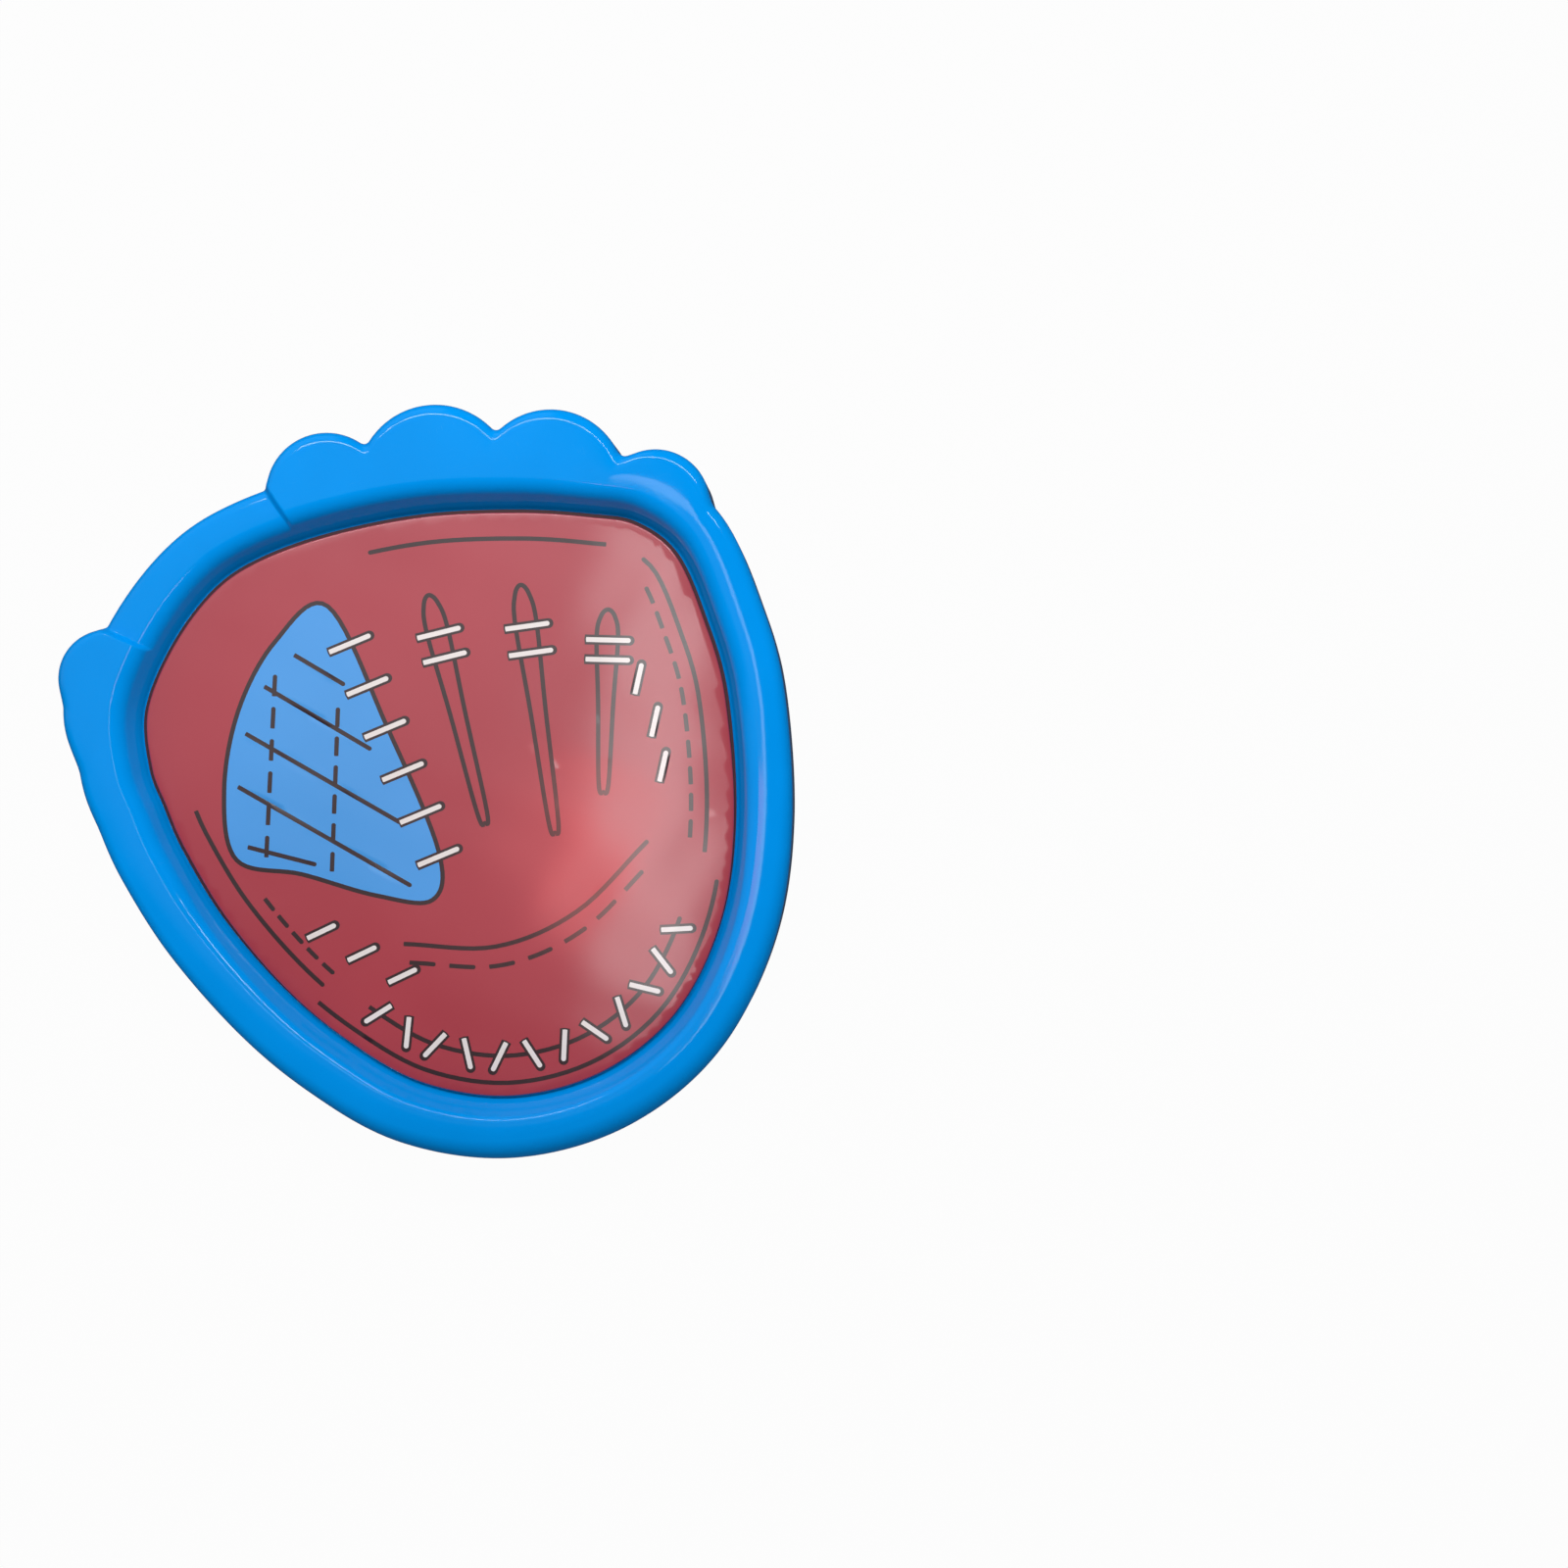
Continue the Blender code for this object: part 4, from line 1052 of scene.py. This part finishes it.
def wovenWebbing():
    # a plain weave laid out along the band: its own run one way and the strap's width the other
    look = Finish("wovenWebbing", webbing["colour"], Roughness=0.82, Sheen_Weight=0.25, Sheen_Roughness=0.5)
    run = look.add("Attribute", attribute_name="alongBand").outputs["Fac"]
    waveLong, waveWide = [look.math("SINE", look.times(place, pi / webbing["yarn"]))
                          for place in (run, look.along("Y"))]
    over = look.spread(look.times(waveLong, waveWide), -webbing["crossing"], webbing["crossing"], 0, 1)
    warp = look.times(look.math("ABSOLUTE", waveWide), over)
    weft = look.times(look.math("ABSOLUTE", waveLong), look.math("SUBTRACT", 1.0, over))
    height = look.math("ADD", warp, weft)
    fibre = look.noise(*webbing["fibre"])
    shade = look.times(height, look.spread(fibre, *webbing["fibreTint"]))
    look.into(Base_Color=look.mix(shade, look.colour, linear(webbing["light"])))
    look.bumps((height, webbing["weaveHeight"]), (fibre, webbing["fibreHeight"]))
    return look.material


def fastenerTape(name):
    colour, light, scale, height = tapeFinish[name]
    look = Finish(name, colour, Roughness=0.92, Sheen_Weight=0.3, Sheen_Roughness=0.6)
    cell = look.fill(look.add("TexVoronoi"), Vector=look.coordinates, Scale=scale)
    near = look.spread(cell.outputs["Distance"], 0.0, 0.7, 1.0, 0.0)
    fuzz = look.noise(scale * 2.3, 3, 0.65)
    look.into(Base_Color=look.mix(look.times(near, fuzz), look.colour, linear(light)))
    look.bumps((near, height), (fuzz, height * 0.5))
    return look.material


def sewingThread():
    look = Finish("sewingThread", thread["colour"], Roughness=0.55, Sheen_Weight=0.2)
    twist = look.add("TexWave", wave_type="BANDS", bands_direction="DIAGONAL")
    look.fill(twist, Vector=look.coordinates, Scale=thread["twistScale"])
    look.into(Base_Color=look.tinted(twist.outputs["Fac"], thread["tints"]))
    look.bumps((twist.outputs["Fac"], thread["twistHeight"]))
    return look.material


def dress(piece, node, slotName, *materials):
    piece.data.materials.clear()
    for material in materials:
        piece.data.materials.append(material)
    if node:
        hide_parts(node)
    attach(piece, "root")


# clearing a piece's materials forgets which face has which, so the film's are kept and set again
filmKinds = [polygon.material_index for polygon in filmPiece.data.polygons]
dress(shellPiece, "shell", "blue_plastic", bluePlastic())
dress(filmPiece, "face_sheet", "printed_sheet", *[printedFilm(kind) for kind in printKinds])
filmPiece.data.polygons.foreach_set("material_index", filmKinds)
dress(strapPiece, "hand_strap", "webbing", wovenWebbing())
dress(loopPiece, "loop_patch", "fastener_tape", fastenerTape("loopPile"))
dress(hookPiece, "hook_patch", "fastener_tape", fastenerTape("hookRows"))
dress(stitchPiece, None, "webbing", sewingThread())
print("materials done")


# floor, light and camera
studio = {
    "floorSize": 6.0, "floorColour": 0.32,
    # how white the floor is to the camera, and in what the plastic mirrors
    "floorGlow": 0.97, "floorMirrored": 0.04,
    # the mirrored room fades towards the photograph's right and bottom, and a soft sky lights the
    # surfaces: each has its level overhead and its change towards the photograph's right and top
    "roomFromRight": (0.0, -4.0, 0.0), "roomFromBottom": (0.50, 0.0, 5.0), "roomLimits": (0.02, 0.62),
    "sky": (0.40, 0.0, 0.12),
    "paddleAt": (0.0, 0.0, 0.016),
}
# place in the photograph's own directions: right, up and towards the camera; then size, power, tint
lamps = {
    "key": ((0.01, 0.34, 0.50), (0.60, 0.07), 2.60, (1.0, 1.0, 1.0)),
    "filmGlare": ((-0.024, 0.020, 1.20), (0.078, 0.46), 0.69, (1.0, 1.0, 1.0)),
    "warmGlare": ((-0.089, -0.052, 1.20), (0.070, 0.13), 0.22, (1.0, 0.16, 0.14)),
}
cameraAt = {"place": (0.08454, -0.02529, 0.524), "turn": -17.5, "lens": 43.45}


def photoDirection(right, up, towards=0.0):
    turn = radians(cameraAt["turn"])
    return Vector((right * cos(turn) - up * sin(turn), right * sin(turn) + up * cos(turn), towards))


def paleFloor():
    # white to the camera, less so in the gloss, and a plain surface that takes the shadow otherwise
    floor = begin("plane", size=studio["floorSize"])
    floor.name = "floor"
    material = bpy.data.materials.new("paleFloor")
    look = NodeWork(material)
    look.tree.nodes.clear()
    paint = look.fill(look.add("BsdfDiffuse"), Color=(studio["floorColour"],) * 3 + (1.0,))
    seen = look.times(look.rayIs("Is Camera Ray", "Is Transmission Ray"), studio["floorGlow"])
    glossy = look.rayIs("Is Glossy Ray")
    dimmed = look.times(glossy, 1.0 - studio["floorMirrored"])
    glow = look.fill(look.add("Emission"), Strength=look.math("SUBTRACT", 1.0, dimmed))
    share = look.math("MAXIMUM", seen, glossy)
    blend = look.result("MixShader", (share, paint.outputs[0], glow.outputs[0]))
    look.fill(look.add("OutputMaterial"), Surface=blend)
    floor.data.materials.append(material)


def studioWorld():
    world = bpy.data.worlds.new("studioWorld")
    scene.world = world
    look = NodeWork(world)
    shade = look.tree.nodes["Background"]
    direction = look.add("TexCoord").outputs["Generated"]

    def leaning(level, right, up):
        # a strength that is the level overhead and changes towards the photograph's right and top
        lean = look.add("VectorMath", operation="DOT_PRODUCT")
        look.feed(lean.inputs[0], direction)
        look.feed(lean.inputs[1], photoDirection(right, up))
        return look.math("ADD", lean.outputs["Value"], level)

    darkest, brightest = studio["roomLimits"]
    mirrored = look.math("MINIMUM", leaning(*studio["roomFromRight"]), leaning(*studio["roomFromBottom"]))
    mirrored = look.math("MINIMUM", look.math("MAXIMUM", mirrored, darkest), brightest)
    lit = leaning(*studio["sky"])
    # camera and clear rays see white, glossy rays the mirrored room, and the rest is lit by the sky
    glossy = look.rayIs("Is Glossy Ray")
    unseen = look.math("SUBTRACT", 1.0, glossy)
    strength = look.math("MULTIPLY_ADD", mirrored, glossy, look.times(lit, unseen))
    seen = look.rayIs("Is Camera Ray", "Is Transmission Ray")
    look.fill(shade, Strength=look.math("MAXIMUM", strength, seen), Color=(1.0, 1.0, 1.0, 1.0))


def studioLamps():
    aim = Vector(studio["paddleAt"])
    for name, (offset, size, power, tint) in lamps.items():
        data = bpy.data.lights.new(name, "AREA")
        data.shape = "RECTANGLE"
        data.size, data.size_y = size
        data.energy = power
        data.color = tint
        lamp = newObject(name, data)
        lamp.location = aim + photoDirection(*offset)
        # a lamp faces the paddle, with its width along the photograph's rows
        away = (lamp.location - aim).normalized()
        across = photoDirection(0.0, 1.0).cross(away).normalized()
        lamp.rotation_euler = Matrix((across, away.cross(across), away)).transposed().to_euler()


def photoCamera():
    data = bpy.data.cameras.new("photoCamera")
    data.sensor_width = 36.0
    data.lens = cameraAt["lens"]
    data.clip_start = 0.01
    camera = newObject("photoCamera", data)
    camera.location = cameraAt["place"]
    camera.rotation_euler = (0.0, 0.0, radians(cameraAt["turn"]))
    scene.camera = camera


paleFloor()
studioWorld()
studioLamps()
photoCamera()
print("stage, light and camera done")
